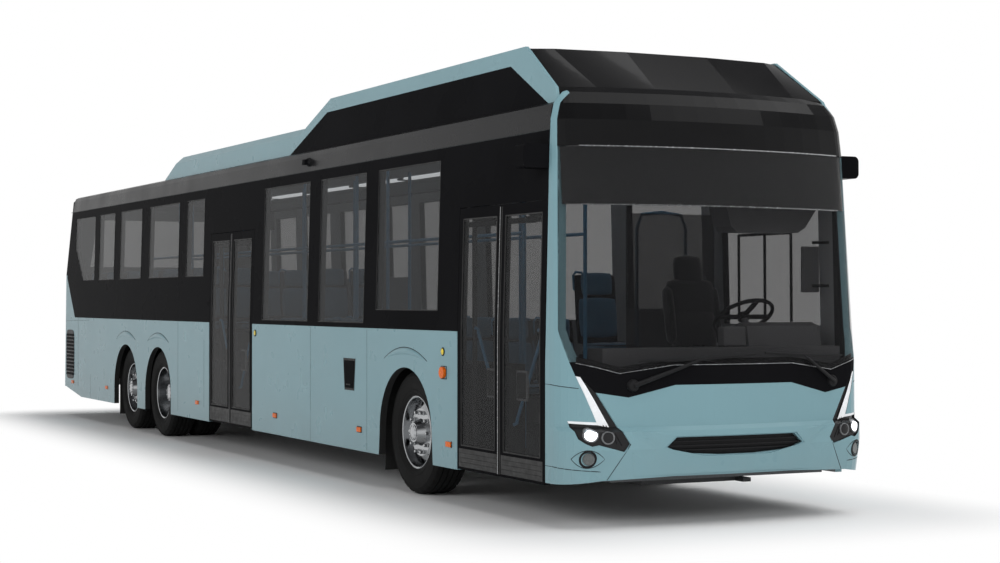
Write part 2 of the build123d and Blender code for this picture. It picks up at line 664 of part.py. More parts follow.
half_tyre = [(RIM_R + FIT, 118), (400, TYRE_W / 2), (488, 130), (TYRE_R, 96)]
tyre_profile = half_tyre + [(r, -out) for r, out in reversed(half_tyre)]
FLANGE = 118.0
bore = SPINDLE_R + FIT
BARREL_R = 284.0
WELL_R = 276.0
HUB_Y = 152.0
HUB_BORE = 99.0
convex_rim = [
    (RIM_R, FLANGE), (RIM_R, -FLANGE), (BARREL_R, -FLANGE), (WELL_R, 10), (190, 62), (bore, 62), (bore, HUB_BORE),
    (0, HUB_BORE), (0, HUB_Y), (80, HUB_Y), (112, 84), (195, 84), (BARREL_R, 46), (BARREL_R, FLANGE),
]
DISH = TWIN_PITCH / 2
DISC_T = 20.0
outer_rim = [
    (RIM_R, FLANGE), (RIM_R, -FLANGE), (BARREL_R, -FLANGE), (WELL_R, -60), (190, FIT - DISH), (bore, FIT - DISH),
    (bore, 14), (0, 14), (0, 60), (95, 60), (135, DISC_T - DISH), (200, DISC_T - DISH), (WELL_R, -30),
    (BARREL_R, FLANGE),
]
inner_rim = [
    (RIM_R, FLANGE), (RIM_R, -FLANGE), (BARREL_R, -FLANGE), (WELL_R, 30), (200, DISH - DISC_T),
    (bore, DISH - DISC_T), (bore, DISH), (190, DISH), (WELL_R, 60), (BARREL_R, FLANGE),
]
VENT_R = 26.0
VENT_PCR = 236.0
VENTS = 10


def vented(rim, x, side):
    """Rim with a ring of six-cornered hand holes."""
    for step in range(VENTS):
        angle = radians(360 / VENTS * (step + 0.5))
        vx, vz = x + VENT_PCR * cos(angle), TYRE_R + VENT_PCR * sin(angle)
        turns = [angle + radians(60 * corner) for corner in range(6)]
        hole = [(vx + VENT_R * cos(turn), vz + VENT_R * sin(turn)) for turn in turns]
        rim -= prism_y(hole, side * RAIL_Y, side * WIDTH)
    return rim


for side, name in ((-1, "right"), (1, "left")):
    for axle in (FRONT, TAG):
        y = side * TRACK_Y
        save(f"tyre_{axle.name}_{name}", turned(tyre_profile, axle.x, y, side))
        save(f"rim_{axle.name}_{name}", vented(turned(convex_rim, axle.x, y, side), axle.x, side))
    outer_y, inner_y = side * TWIN_OUTER_Y, side * (TWIN_OUTER_Y - TWIN_PITCH)
    outer_tyre = turned(tyre_profile, DRIVE.x, outer_y, side)
    save(f"tyre_drive_{name}", outer_tyre, turned(tyre_profile, DRIVE.x, inner_y, side))
    outer = vented(turned(outer_rim, DRIVE.x, outer_y, side), DRIVE.x, side)
    save(f"rim_drive_{name}", outer, vented(turned(inner_rim, DRIVE.x, inner_y, side), DRIVE.x, side))

# Doors: two leaves a doorway, each swung out on a post with bowed arms and kept parallel
ARM_ZS = (430.0, 2210.0)
ARM_H = 24.0
HANGER_H = 60.0
BOW_OUT = 100.0
for door in DOORWAYS:
    centre = (door.x0 + door.x1) / 2
    for way, name, jamb in ((1, "rear", door.x0), (-1, "fore", door.x1)):
        x0, x1 = sorted((jamb + way * MOVE, centre - way * MOVE / 2))
        post_x = jamb + way * POST_INSET
        pivot_x = post_x + way * ARM_L
        leaf_slab = side_slab(-1, DOOR_FOOT_Z, DOOR_TOP_Z - MOVE, 0, LEAF_T)
        leaf = leaf_slab & block(x0, x1, -WIDTH, 0, DOOR_FOOT_Z, DOOR_TOP_Z - MOVE)
        view = [(x0 + 70, 480), (x1 - 70, 480), (x1 - 70, DOOR_TOP_Z - 90), (x0 + 70, DOOR_TOP_Z - 90)]
        leaf -= prism_y(view, -WIDTH, 0)
        pane = side_slab(-1, DOOR_FOOT_Z, DOOR_TOP_Z, 3, 11)
        pane &= block(x0 + 70 + FIT, x1 - 70 - FIT, -WIDTH, 0, 480 + FIT, DOOR_TOP_Z - 90 - FIT)
        arm = rod((post_x, -POST_Y, FLOOR_Z + FIT), (post_x, -POST_Y, DOOR_TOP_Z - FIT), POST_R)
        hangers = []
        for z in ARM_ZS:
            bow = [
                (post_x, -POST_Y - 14), (post_x, -POST_Y + 14),
                (post_x + way * 100, -POST_Y + BOW_OUT + 20), (post_x + way * 190, -POST_Y + BOW_OUT),
                (pivot_x + way * 12, -POST_Y + 14), (pivot_x - way * 12, -POST_Y - 14),
                (post_x + way * 185, -POST_Y + BOW_OUT - 40), (post_x + way * 110, -POST_Y + BOW_OUT - 18),
            ]
            arm += prism_z(bow, z - ARM_H / 2, z + ARM_H / 2)
            arm += rod((pivot_x, -POST_Y, z - ARM_H / 2), (pivot_x, -POST_Y, z + ARM_H / 2), 20)
            arm -= rod((pivot_x, -POST_Y, z - 50), (pivot_x, -POST_Y, z + 50), PIN_R + FIT)
            skin = min(wall_y(z - HANGER_H), wall_y(z)) - LEAF_T - FIT
            foot = z - HANGER_H
            hanger = rod((pivot_x, -POST_Y, foot), (pivot_x, -POST_Y, z + ARM_H), PIN_R)
            hanger += block(pivot_x - 20, pivot_x + 20, -skin, -POST_Y + 20, foot, z - ARM_H / 2 - FIT)
            hanger += block(x0, x1, -skin, -skin + 10, foot, foot + 40)
            hangers.append(hanger)
        save(f"door_{door.name}_{name}_leaf", leaf, *hangers)
        save(f"door_{door.name}_{name}_glass", pane)
        save(f"door_{door.name}_{name}_arm", arm)

# Roof fairing: leaning side panels, low cover behind and tall hood in front
def fairing_y(z):
    return FAIRING_FOOT_Y - (FAIRING_FOOT_Y - FAIRING_TOP_Y) * (z - ROOF_Z) / (FAIRING_Z - ROOF_Z)


LOW_Z = 3232.0
LOW_BEND_Z = 3165.0
LOW_BEND = 45.0
BELT_Z = 3330.0
PANEL_GAP = 1.0
BELT_X0 = 1460.0
BELT_X1 = 6800.0
STEP_TOP_X = 1820.0
LOW_X0 = -2820.0
LOW_X1 = -2290.0
low_outline = [
    (LOW_X0, ROOF_Z), (LOW_X1, LOW_Z), (STEP_TOP_X - PANEL_GAP, LOW_Z), (BELT_X0 - PANEL_GAP, ROOF_Z),
]
fairing_outline = [
    (BELT_X0, ROOF_Z), (STEP_TOP_X, LOW_Z), (2390, FAIRING_Z), (6330, FAIRING_Z), (6880, 3100), (6935, ROOF_Z),
    (BELT_X1, ROOF_Z), (6120, BELT_Z), (2340, BELT_Z),
]
black_outline = [
    (BELT_X0 + PANEL_GAP, ROOF_Z), (BELT_X1 - PANEL_GAP, ROOF_Z),
    (6120 - PANEL_GAP, BELT_Z - FIT), (2340 + PANEL_GAP, BELT_Z - FIT),
]


def fairing_slab(side, line):
    ring = line + [(y - FAIRING_T, z) for y, z in reversed(line)]
    return prism_x([(side * y, z) for y, z in ring], LOW_X0 - 100, NOSE_X)


tall_line = [(fairing_y(ROOF_Z), ROOF_Z), (fairing_y(FAIRING_Z), FAIRING_Z)]
low_top_y = fairing_y(LOW_BEND_Z) - LOW_BEND
low_line = [(fairing_y(ROOF_Z), ROOF_Z), (fairing_y(LOW_BEND_Z), LOW_BEND_Z), (low_top_y, LOW_Z)]
fairing = []
hood = []
for side in (-1, 1):
    slab = fairing_slab(side, tall_line)
    fairing.append(slab & prism_y(fairing_outline, -WIDTH, WIDTH))
    fairing.append(fairing_slab(side, low_line) & prism_y(low_outline, -WIDTH, WIDTH))
    hood.append(slab & prism_y(black_outline, -WIDTH, WIDTH))
cover_y = low_top_y - FAIRING_T - FIT
low_cover = [
    (LOW_X0 + 20, ROOF_Z), (LOW_X1 + 2, LOW_Z - 10), (STEP_TOP_X - 40, LOW_Z - 10),
    (STEP_TOP_X - 40, LOW_Z - 30), (LOW_X1 + 20, LOW_Z - 30), (LOW_X0 + 60, ROOF_Z),
]
fairing.append(prism_y(low_cover, -cover_y, cover_y))
save("roof_fairing", *fairing)


HOOD_T = 25.0
HOOD_EDGE = 40.0
CROWN_Y = 350.0
# Hood plan at three heights: its tail, its side ends, and the corner and middle of its front
HoodLevel = namedtuple("HoodLevel", "z back front tip tip_y crown")
HOOD_LEVELS = (
    HoodLevel(ROOF_Z, 1500.0, 6870.0, 6925.0, 850.0, 6925.0),
    HoodLevel(DOME_TOP_Z, 1730.0, 6870.0, 6925.0, 850.0, 6925.0),
    HoodLevel(HOOD_Z, 2400.0, 6340.0, 6415.0, 930.0, 6485.0),
)


def hood_ring(level, edge, inset, drop):
    """Plan outline of the hood, set in at its ends by edge and at its sides by inset."""
    wide = fairing_y(level.z) - FAIRING_T - 2 - inset
    left = [(level.back + edge, wide), (level.front - edge, wide)]
    left += [(level.tip - edge, level.tip_y - inset), (level.crown - edge, CROWN_Y)]
    return plan_wire(left, level.z - drop)


hood_skin = Solid.make_loft([hood_ring(level, 0, 0, 0) for level in HOOD_LEVELS], True)
drops = (1, 0, HOOD_T)
core_rings = [hood_ring(level, HOOD_EDGE, HOOD_T, drop) for level, drop in zip(HOOD_LEVELS, drops)]
hood_core = Solid.make_loft(core_rings, True)
hood.append(hood_skin - hood_core)
save("roof_pod", *hood)

# Heavy masses
packs = [block(x0, x1, -900, 900, ROOF_Z, 3350) for x0, x1 in ((2600, 4250), (4350, 6000))]
packs.append(block(-7200, -6200, -RAIL_Y + RAIL_W, RAIL_Y - RAIL_W, 470, deck_under - FIT))
save("battery_packs", *packs)
motor = block(-2150, -1300, -300, 300, 420, deck_under - FIT)
shaft = rod((DRIVE.x + 180 + FIT, 0, TYRE_R), (-2150 - FIT, 0, TYRE_R), 45)
save("drive_motor", motor, shaft)

# Seats: pairs facing forward; each seat has a pad and a back on a shared pedestal
SEAT_W = 430.0
SEAT_GAP = 15.0
SEAT_H = 450.0
SEAT_Y = 320.0
PAD_L = 430.0
PAD_T = 85.0
BACK_H = 620.0
BACK_T = 65.0
BACK_LEAN = 60.0
Row = namedtuple("Row", "x side foot")
rows = [Row(x, -1, FLOOR_Z) for x in (1150, 1950, 2750)]
rows += [Row(x, 1, FLOOR_Z) for x in (-250, 550, 1350, 2150, 2950)]
rows += [Row(x, side, DECK_Z) for x in (-1750, -2950, -3750, -4550, -5550, -6350) for side in (-1, 1)]
seats = []
for row in rows:
    top = row.foot + SEAT_H
    pad = [
        (row.x + FIT, top - PAD_T), (row.x + PAD_L, top - PAD_T), (row.x + PAD_L + 10, top), (row.x + FIT, top - 15),
    ]
    back = [
        (row.x, top - PAD_T), (row.x, top + 20), (row.x - BACK_LEAN, top + BACK_H),
        (row.x - BACK_LEAN - BACK_T, top + BACK_H), (row.x - BACK_T, top - PAD_T),
    ]
    for step in (0, 1):
        y0 = row.side * (SEAT_Y + step * (SEAT_W + SEAT_GAP))
        y1 = y0 + row.side * SEAT_W
        seats.append(prism_y(pad, y0, y1))
        seats.append(prism_y(back, y0, y1))
    beam_y0, beam_y1 = row.side * (SEAT_Y + 30), row.side * (SEAT_Y + 2 * SEAT_W - 30)
    foot_y0, foot_y1 = row.side * (SEAT_Y + 120), row.side * (SEAT_Y + 220)
    stand = block(row.x + 60, row.x + 300, beam_y0, beam_y1, top - PAD_T - 45, top - PAD_T - FIT)
    seats.append(stand + block(row.x + 60, row.x + 300, foot_y0, foot_y1, row.foot + FIT, top - PAD_T - FIT))
save("seats", *seats)

# Grab rails: posts from floor to ceiling and hand rails between them
ceiling_z = ROOF_Z - ROOF_T
RAIL_R = 17.0
HAND_Y = 290.0
HAND_Z = 2150.0
Post = namedtuple("Post", "x foot")
POSTS = (
    Post(-6500, DECK_Z), Post(-5150, DECK_Z), Post(-3400, DECK_Z), Post(-2100, DECK_Z), Post(-500, FLOOR_Z),
    Post(1000, FLOOR_Z), Post(1800, FLOOR_Z), Post(3500, FLOOR_Z), Post(4700, FLOOR_Z),
)
rails = []
for side in (-1, 1):
    y = side * HAND_Y
    for post in POSTS:
        rails.append(rod((post.x, y, post.foot + FIT), (post.x, y, ceiling_z - FIT), RAIL_R))
    for near, far in zip(POSTS, POSTS[1:]):
        rails.append(rod((near.x + RAIL_R + FIT, y, HAND_Z), (far.x - RAIL_R - FIT, y, HAND_Z), RAIL_R - 2))
save("grab_rails", *rails)

# Driver's place
driver_x, driver_y = 5750.0, 700.0
seat_top = CAB_Z + 480
chair = [
    (driver_x - 40, seat_top - 110), (driver_x + 440, seat_top - 110), (driver_x + 450, seat_top),
    (driver_x + 90, seat_top - 10), (driver_x - 50, seat_top + 780), (driver_x - 150, seat_top + 780),
]
driver_seat = prism_y(chair, driver_y - 250, driver_y + 250)
driver_seat += block(driver_x + 50, driver_x + 350, driver_y - 180, driver_y + 180, CAB_Z + FIT, seat_top - 100)
save("driver_seat", driver_seat)
DASH_Z = 1250.0
DASH_X = 7180.0
dash = [
    (6640, DASH_Z - 60), (6960, DASH_Z), (DASH_X, DASH_Z), (DASH_X, DASH_Z - 320), (6800, DASH_Z - 380),
    (6640, DASH_Z - 220),
]
binnacle = [
    (6770, DASH_Z - 60), (6800, DASH_Z + 140), (6890, DASH_Z + 175), (6990, DASH_Z + 150), (7030, DASH_Z - 60),
]
cab = prism_y(dash, -300, 1080) + prism_y(binnacle, 380, 1030)
cab += block(6970, DASH_X, -950, -300, DASH_Z - 320, DASH_Z)
cab += block(6800, 6900, 300, 1080, CAB_Z, DASH_Z - 320)
partition = block(5330, 5360, 320, INNER_Y - 60, CAB_Z + FIT, 2300)
column_foot = (6700.0, driver_y, DASH_Z - 150)
column_head = (6480.0, driver_y, DASH_Z + 190)
COLUMN_R = 30.0
cab += rod(column_foot, column_head, COLUMN_R)
save("driver_cab", cab, partition)

STEER_R = 235.0
slope = (Vector(*column_head) - Vector(*column_foot)).normalized()
seat_at = Vector(*column_head) + slope * FIT
wheel_plane = Plane(seat_at + slope * 25, x_dir=(0, 1, 0), z_dir=slope)
GRIP_R = 16.0
turns = [radians(60 * step) for step in range(6)]
grip = Wire.make_polygon([(STEER_R + GRIP_R * cos(turn), 0, GRIP_R * sin(turn)) for turn in turns])
steer = wheel_plane * Solid.revolve(Face(grip), 360, Axis.Z)
steer += Solid.make_cylinder(45, 50, Plane(seat_at, x_dir=(0, 1, 0), z_dir=slope))
steer += wheel_plane * Box(2 * STEER_R, 40, 18)
steer += wheel_plane * (Pos(0, -STEER_R / 2, 0) * Box(40, STEER_R, 18))
save("steering_wheel", steer)

# Wipers and cameras
WIPER_OUT = 22.0
WIPER_R = 6.0
BOSS_R = 22.0
BOSS_H = 20.0
Wiper = namedtuple("Wiper", "pivot knee tip heel")
WIPERS = (
    Wiper((-800, 1000), (-300, 1175), (150, 1205), (-760, 1165)),
    Wiper((900, 1000), (600, 1190), (240, 1215), (1000, 1185)),
)
wipers = []
for wiper in WIPERS:
    pivot, knee, tip, heel = [(nose_x(y, z) + WIPER_OUT, y, z) for y, z in wiper]
    rim = [(pivot[1] + BOSS_R * cos(turn), pivot[2] + BOSS_R * sin(turn)) for turn in turns]
    seat = max(nose_x(y, z) for y, z in rim) + FIT
    piece = rod((seat, pivot[1], pivot[2]), (seat + BOSS_H, pivot[1], pivot[2]), BOSS_R)
    piece += rod(pivot, knee, WIPER_R) + rod(knee, tip, WIPER_R) + rod(knee, heel, WIPER_R)
    wipers.append(piece)
save("wipers", *wipers)

POD = (6780.0, 6935.0, 2520.0, 2690.0)
POD_OUT = 200.0
pods = []
for side in (-1, 1):
    skin = wall_y(POD[2]) + FIT
    pod = block(POD[0], POD[1], side * skin, side * (skin + POD_OUT), POD[2], POD[3])
    outer_edges = pod.edges().filter_by(Axis.X).sort_by(Axis.Y)[::side][-2:]
    pods.append(fillet(outer_edges, 40))
eaves_in = (wall_y(CANTRAIL_Z) - eaves[1][0]) / (EAVES_Z - CANTRAIL_Z)
SIDE_EYE = Pane(2110, 2175, 2850, 2900)
SIDE_EYE_OUT = 60.0
eye_ring = []
for z, out in ((SIDE_EYE.z0, 0), (SIDE_EYE.z1, 0), (SIDE_EYE.z1, SIDE_EYE_OUT), (SIDE_EYE.z0, SIDE_EYE_OUT)):
    eye_ring.append((-(wall_y(CANTRAIL_Z) - (z - CANTRAIL_Z) * eaves_in + FIT + out), z))
pods.append(prism_x(eye_ring, SIDE_EYE.x0, SIDE_EYE.x1))
save("camera_pods", *pods)

# Side markers
MARKER_Z = 470.0
markers = []
for side in (-1, 1):
    for x in (5340, 3495, 1324, -1202, -5085, -6890):
        y = HALF_W + FIT
        markers.append(block(x - 45, x + 45, side * y, side * (y + 12), MARKER_Z - 20, MARKER_Z + 20))
    markers.append(rod((5242, side * (HALF_W + FIT), 1024), (5242, side * (HALF_W + 25), 1024), 45))
save("side_markers", *markers)
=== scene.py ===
from itertools import product
from math import cos, pi, radians, sin, sqrt, tan

import bmesh
import bpy
from mathutils import Matrix, Vector


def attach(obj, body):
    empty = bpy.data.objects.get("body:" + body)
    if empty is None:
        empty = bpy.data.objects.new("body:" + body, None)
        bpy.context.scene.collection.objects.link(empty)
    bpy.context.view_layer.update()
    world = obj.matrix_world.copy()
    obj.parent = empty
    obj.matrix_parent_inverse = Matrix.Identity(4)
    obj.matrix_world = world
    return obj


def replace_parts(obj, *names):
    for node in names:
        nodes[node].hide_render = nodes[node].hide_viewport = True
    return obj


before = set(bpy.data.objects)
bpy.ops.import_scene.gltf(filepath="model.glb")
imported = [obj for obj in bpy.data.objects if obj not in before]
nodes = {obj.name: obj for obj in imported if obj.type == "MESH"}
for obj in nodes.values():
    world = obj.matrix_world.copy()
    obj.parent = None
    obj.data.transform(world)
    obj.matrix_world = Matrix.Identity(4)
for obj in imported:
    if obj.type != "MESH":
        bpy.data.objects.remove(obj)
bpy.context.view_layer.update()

scene = bpy.context.scene

# Measures of the body, shared with the solids, in metres
HALF_W = 1.275
WAIST_Z = 1.35
LEAN = tan(radians(1.5))
TYRE_R = 0.505
TRACK_Y = 1.0475
TWIN_Y = 1.0775
TWIN_PITCH = 0.33
AXLES = {"front": 4.48, "drive": -2.75, "tag": -4.17}
FLOOR_Z = 0.36
DECK_Z = 0.90
CAB_Z = 0.69
ARCH_R = 0.75
SKIRT_FOOT_Z = 0.33
# Nose levels: height, front, corner radius, tuck and bow radius
NOSE = [
    (0.285, 7.395, 0.283, 0.0, 5.2),
    (0.560, 7.450, 0.283, 0.0, 5.2),
    (0.684, 7.448, 0.283, 0.0, 5.2),
    (0.714, 7.428, 0.283, 0.0, 3.87),
    (1.137, 7.425, 0.283, 0.0, 3.87),
    (2.670, 7.267, 0.180, 0.0, 3.87),
    (2.860, 7.238, 0.180, 0.0, 3.87),
    (2.975, 7.195, 0.180, 0.008, 3.87),
    (3.060, 7.130, 0.180, 0.035, 3.87),
    (3.105, 7.050, 0.180, 0.080, 3.87),
]
SIDES = (("right", -1), ("left", 1))


def wall_y(z):
    return HALF_W - max(0.0, z - WAIST_Z) * LEAN


def corner_of(level):
    z, front, turn, tuck, bow = level
    corner_y = wall_y(z) - tuck - turn
    return front - bow + sqrt((bow - turn) ** 2 - corner_y**2), corner_y, turn


def level_x(level, y):
    _, front, _, _, bow = level
    corner_x, corner_y, turn = corner_of(level)
    bow_x = front - bow
    meet = corner_y / (bow - turn) * bow
    y = abs(y)
    if y <= meet:
        return bow_x + sqrt(bow**2 - y**2)
    return corner_x + sqrt(max(0.0, turn**2 - (y - corner_y) ** 2))


def nose_x(y, z):
    for low, high in zip(NOSE, NOSE[1:]):
        if z <= high[0]:
            part = (z - low[0]) / (high[0] - low[0])
            return level_x(low, y) + (level_x(high, y) - level_x(low, y)) * part
    return level_x(NOSE[-1], y)


def on_nose(y, z, out=0.0):
    step = 0.004
    slope_y = (nose_x(y + step, z) - nose_x(y - step, z)) / (2 * step)
    slope_z = (nose_x(y, z + step) - nose_x(y, z - step)) / (2 * step)
    normal = Vector((1.0, -slope_y, -slope_z)).normalized()
    return Vector((nose_x(y, z), y, z)) + normal * out


def on_corner(side, angle, z, out=0.0):
    """Point on the rounded corner between nose and side; the angle is 0 ahead and a quarter turn at the side."""
    low, high = next(((a, b) for a, b in zip(NOSE, NOSE[1:]) if z <= b[0]), NOSE[-2:])
    part = (z - low[0]) / (high[0] - low[0])
    x, y, turn = [a + (b - a) * part for a, b in zip(corner_of(low), corner_of(high))]
    return Vector((x + (turn + out) * cos(angle), side * (y + (turn + out) * sin(angle)), z))


def on_side(side, x, z, out=0.0):
    return Vector((x, side * (wall_y(z) + out), z))


# Materials
def feed(tree, node, values):
    """Sets inputs of a shader node; a value is a constant or the output that feeds the input."""
    for key, value in values.items():
        if isinstance(value, bpy.types.NodeSocket):
            tree.links.new(value, node.inputs[key])
        else:
            node.inputs[key].default_value = value


def put(tree, kind, values, **facts):
    node = tree.nodes.new(f"ShaderNode{kind}")
    for key, fact in facts.items():
        setattr(node, key, fact)
    feed(tree, node, values)
    return node


def blank(name):
    mat = bpy.data.materials.new(name)
    mat.use_nodes = True
    return mat, mat.node_tree, mat.node_tree.nodes["Principled BSDF"]


def place_in(tree):
    return put(tree, "TexCoord", {}).outputs["Object"]


def noise(tree, scale, detail):
    grain = put(tree, "TexNoise", {"Scale": scale, "Detail": detail, "Vector": place_in(tree)})
    return grain.outputs["Fac"]


def ramp(tree, source, low, high, at=(0.3, 0.7)):
    blend = put(tree, "ValToRGB", {"Fac": source})
    for stop, place, colour in zip(blend.color_ramp.elements, at, (low, high)):
        stop.position = place
        stop.color = (*colour, 1.0)
    return blend.outputs["Color"]


def spread(tree, source, low, high, at=(0.3, 0.7), **facts):
    values = {"Value": source, "From Min": at[0], "From Max": at[1], "To Min": low, "To Max": high}
    return put(tree, "MapRange", values, **facts).outputs["Result"]


def maths(tree, operation, a, b):
    return put(tree, "Math", {0: a, 1: b}, operation=operation).outputs["Value"]


def mixed(tree, part, a, b, blend_type="MIX"):
    mix = put(tree, "Mix", {}, data_type="RGBA", blend_type=blend_type)
    feed(tree, mix, {"Factor": part, "A": a, "B": b})
    return mix.outputs["Result"]


def bumped(tree, height, strength):
    lift = put(tree, "Bump", {"Strength": strength, "Distance": BUMP_DEPTH, "Height": height})
    return lift.outputs["Normal"]


def shade(colour, part):
    return tuple(min(1.0, c * part) for c in colour)


def finish_of(name, colour, rough, vary=0.05, scale=3.0, rough_vary=0.05, bump=0.0, bump_scale=60.0,
              metal=0.0, coat=0.0, alpha=1.0, emit=0.0, spec=0.5):
    """Finish whose colour and roughness wander with a noise, with an optional fine bump."""
    mat, tree, shader = blank(name)
    grain = noise(tree, scale, 5.0)
    feed(tree, shader, {
        "Base Color": ramp(tree, grain, shade(colour, 1 - vary), shade(colour, 1 + vary)),
        "Roughness": spread(tree, grain, max(0.0, rough - rough_vary), rough + rough_vary),
        "Metallic": metal, "Coat Weight": coat, "Coat Roughness": 0.06, "Alpha": alpha, "Specular IOR Level": spec,
    })
    if bump:
        feed(tree, shader, {"Normal": bumped(tree, noise(tree, bump_scale, 3.0), bump)})
    if emit:
        feed(tree, shader, {"Emission Color": (*colour, 1.0), "Emission Strength": emit})
        mat.cycles.emission_sampling = "NONE"
    return mat


def painted(name, colour, dust):
    """Clear-coated paint with a faint cloud, fine orange peel and road film near the ground."""
    mat, tree, shader = blank(name)
    tint = ramp(tree, noise(tree, 0.9, 3.0), shade(colour, 0.965), shade(colour, 1.03))
    height = put(tree, "SeparateXYZ", {"Vector": place_in(tree)}).outputs["Z"]
    speck = noise(tree, 5.0, 2.0)
    film = maths(tree, "MULTIPLY", spread(tree, height, 0.30, 0.0, (0.25, 0.75)), speck)
    feed(tree, shader, {
        "Base Color": mixed(tree, film, tint, (*dust, 1.0)),
        "Roughness": spread(tree, speck, 0.27, 0.31),
        "Normal": bumped(tree, noise(tree, 7.0, 1.0), 0.05),
        "Specular IOR Level": 0.14, "Coat Weight": 0.06, "Coat Roughness": 0.08,
    })
    return mat


def woven(name, colour, thread):
    """Seat cloth: crossed threads, a soft nap and worn lighter patches."""
    mat, tree, shader = blank(name)
    place = place_in(tree)
    threads = [put(tree, "TexWave", {"Scale": 90.0, "Distortion": 0.6, "Vector": place}, bands_direction=axis)
               for axis in ("Y", "Z")]
    cross = maths(tree, "MULTIPLY", *[wave.outputs["Fac"] for wave in threads])
    base = ramp(tree, cross, colour, thread, (0.1, 0.9))
    worn = ramp(tree, noise(tree, 5.0, 4.0), (0.82, 0.82, 0.82), (1.0, 1.0, 1.0))
    feed(tree, shader, {
        "Base Color": mixed(tree, 1.0, base, worn, "MULTIPLY"),
        "Normal": bumped(tree, cross, 0.35),
        "Roughness": 0.9, "Sheen Weight": 0.4,
    })
    return mat


def speckled(name, colour, chip):
    """Floor covering with mineral chips."""
    mat, tree, shader = blank(name)
    cell = put(tree, "TexVoronoi", {"Scale": 60.0, "Vector": place_in(tree)})
    feed(tree, shader, {
        "Base Color": ramp(tree, cell.outputs["Distance"], chip, colour, (0.1, 0.35)),
        "Roughness": spread(tree, noise(tree, 30.0, 4.0), 0.55, 0.75),
    })
    return mat


BUMP_DEPTH = 0.002
MINT = (0.205, 0.355, 0.398)
mint = painted("mint_paint", MINT, (0.30, 0.33, 0.33))
black = finish_of("black_gloss", (0.008, 0.008, 0.009), 0.28, 0.15, 1.2, 0.03, 0.01, 12.0, spec=0.002)
dome_black = finish_of("dome_gloss", (0.007, 0.007, 0.0075), 0.2, 0.15, 1.2, 0.03, 0.01, 12.0, coat=0.12, spec=0.05)
side_glass = finish_of("tinted_glass", (0.018, 0.02, 0.022), 0.05, 0.1, 1.5, 0.01, alpha=0.48, spec=0.08)
door_glass = finish_of("door_glass", (0.02, 0.021, 0.022), 0.05, 0.1, 1.5, 0.01, alpha=0.45, spec=0.06)
smoked = finish_of("smoked_sheet", (0.05, 0.05, 0.052), 0.15, 0.1, 2.0, 0.02, alpha=0.60, spec=0.05)
screen_glass = finish_of("clear_glass", (0.016, 0.016, 0.017), 0.05, 0.1, 1.0, 0.01, alpha=0.30, spec=0.06)
rubber = finish_of("tyre_rubber", (0.011, 0.011, 0.011), 0.82, 0.25, 14.0, 0.08, 0.5, 120.0, spec=0.15)
seal = finish_of("seal_rubber", (0.010, 0.010, 0.010), 0.6, 0.2, 20.0, 0.1, 0.3, 150.0)
chrome = finish_of("polished_rim", (0.38, 0.39, 0.40), 0.20, 0.06, 6.0, 0.06, 0.05, 90.0, metal=1.0)
nut_steel = finish_of("nut_steel", (0.50, 0.51, 0.52), 0.24, 0.1, 40.0, 0.08, 0.1, 200.0, metal=1.0)
steel = finish_of("chassis_steel", (0.035, 0.036, 0.038), 0.6, 0.25, 6.0, 0.12, 0.3, 50.0, metal=0.3)
arm_steel = finish_of("arm_steel", (0.05, 0.05, 0.052), 0.45, 0.15, 12.0, 0.1, 0.1, 80.0, metal=0.5)
liner = finish_of("wheel_liner", (0.010, 0.010, 0.010), 0.8, 0.3, 8.0, 0.1, 0.4, 60.0)
plastic = finish_of("black_plastic", (0.014, 0.014, 0.015), 0.42, 0.15, 20.0, 0.08, 0.2, 220.0, spec=0.1)
roof_skin = finish_of("roof_skin", (0.014, 0.014, 0.015), 0.3, 0.15, 2.0, 0.06, 0.05, 120.0, spec=0.08)
trim = finish_of("cab_trim", (0.10, 0.10, 0.105), 0.55, 0.08, 12.0, 0.08, 0.25, 260.0)
pale_trim = finish_of("wall_trim", (0.30, 0.31, 0.32), 0.6, 0.06, 8.0, 0.08, 0.15, 180.0)
ceiling = finish_of("ceiling_trim", (0.42, 0.43, 0.44), 0.7, 0.05, 6.0, 0.08, 0.1, 160.0)
rail = finish_of("rail_paint", (0.10, 0.34, 0.58), 0.35, 0.08, 18.0, 0.08, 0.05, 140.0, coat=0.2)
case = finish_of("pack_case", (0.16, 0.165, 0.17), 0.5, 0.12, 5.0, 0.1, 0.1, 70.0, metal=0.4)
lens = finish_of("lamp_lens", (0.55, 0.57, 0.60), 0.08, 0.1, 30.0, 0.04, 0.1, 200.0, metal=0.7)
lamp_dark = finish_of("lamp_housing", (0.02, 0.02, 0.021), 0.2, 0.15, 12.0, 0.05, 0.05, 160.0, coat=0.1, spec=0.1)
fog_glass = finish_of("fog_lens", (0.10, 0.11, 0.11), 0.15, 0.2, 60.0, 0.05, 0.2, 160.0, spec=0.4)
lit = finish_of("lit_lamp", (0.90, 0.94, 1.0), 0.2, 0.02, 30.0, 0.05, emit=3.0)
blade_light = finish_of("light_blade", (0.80, 0.82, 0.84), 0.25, 0.03, 20.0, 0.08, emit=0.15)
red = finish_of("red_lens", (0.45, 0.014, 0.010), 0.25, 0.15, 60.0, 0.05, 0.2, 160.0, spec=0.1)
amber = finish_of("amber_lens", (0.80, 0.15, 0.012), 0.25, 0.12, 60.0, 0.05, 0.2, 160.0, spec=0.1)
yellow = finish_of("yellow_button", (0.80, 0.62, 0.04), 0.35, 0.08, 30.0, 0.08, 0.1, 140.0)
cloth = woven("seat_fabric", (0.075, 0.200, 0.330), (0.150, 0.340, 0.500))
dark_cloth = woven("driver_fabric", (0.014, 0.015, 0.016), (0.035, 0.036, 0.038))
floor_cover = speckled("floor_speckle", (0.085, 0.09, 0.095), (0.115, 0.12, 0.125))
dim_glass = finish_of("dim_screen", (0.008, 0.009, 0.010), 0.12, 0.2, 4.0, 0.04, coat=0.4)
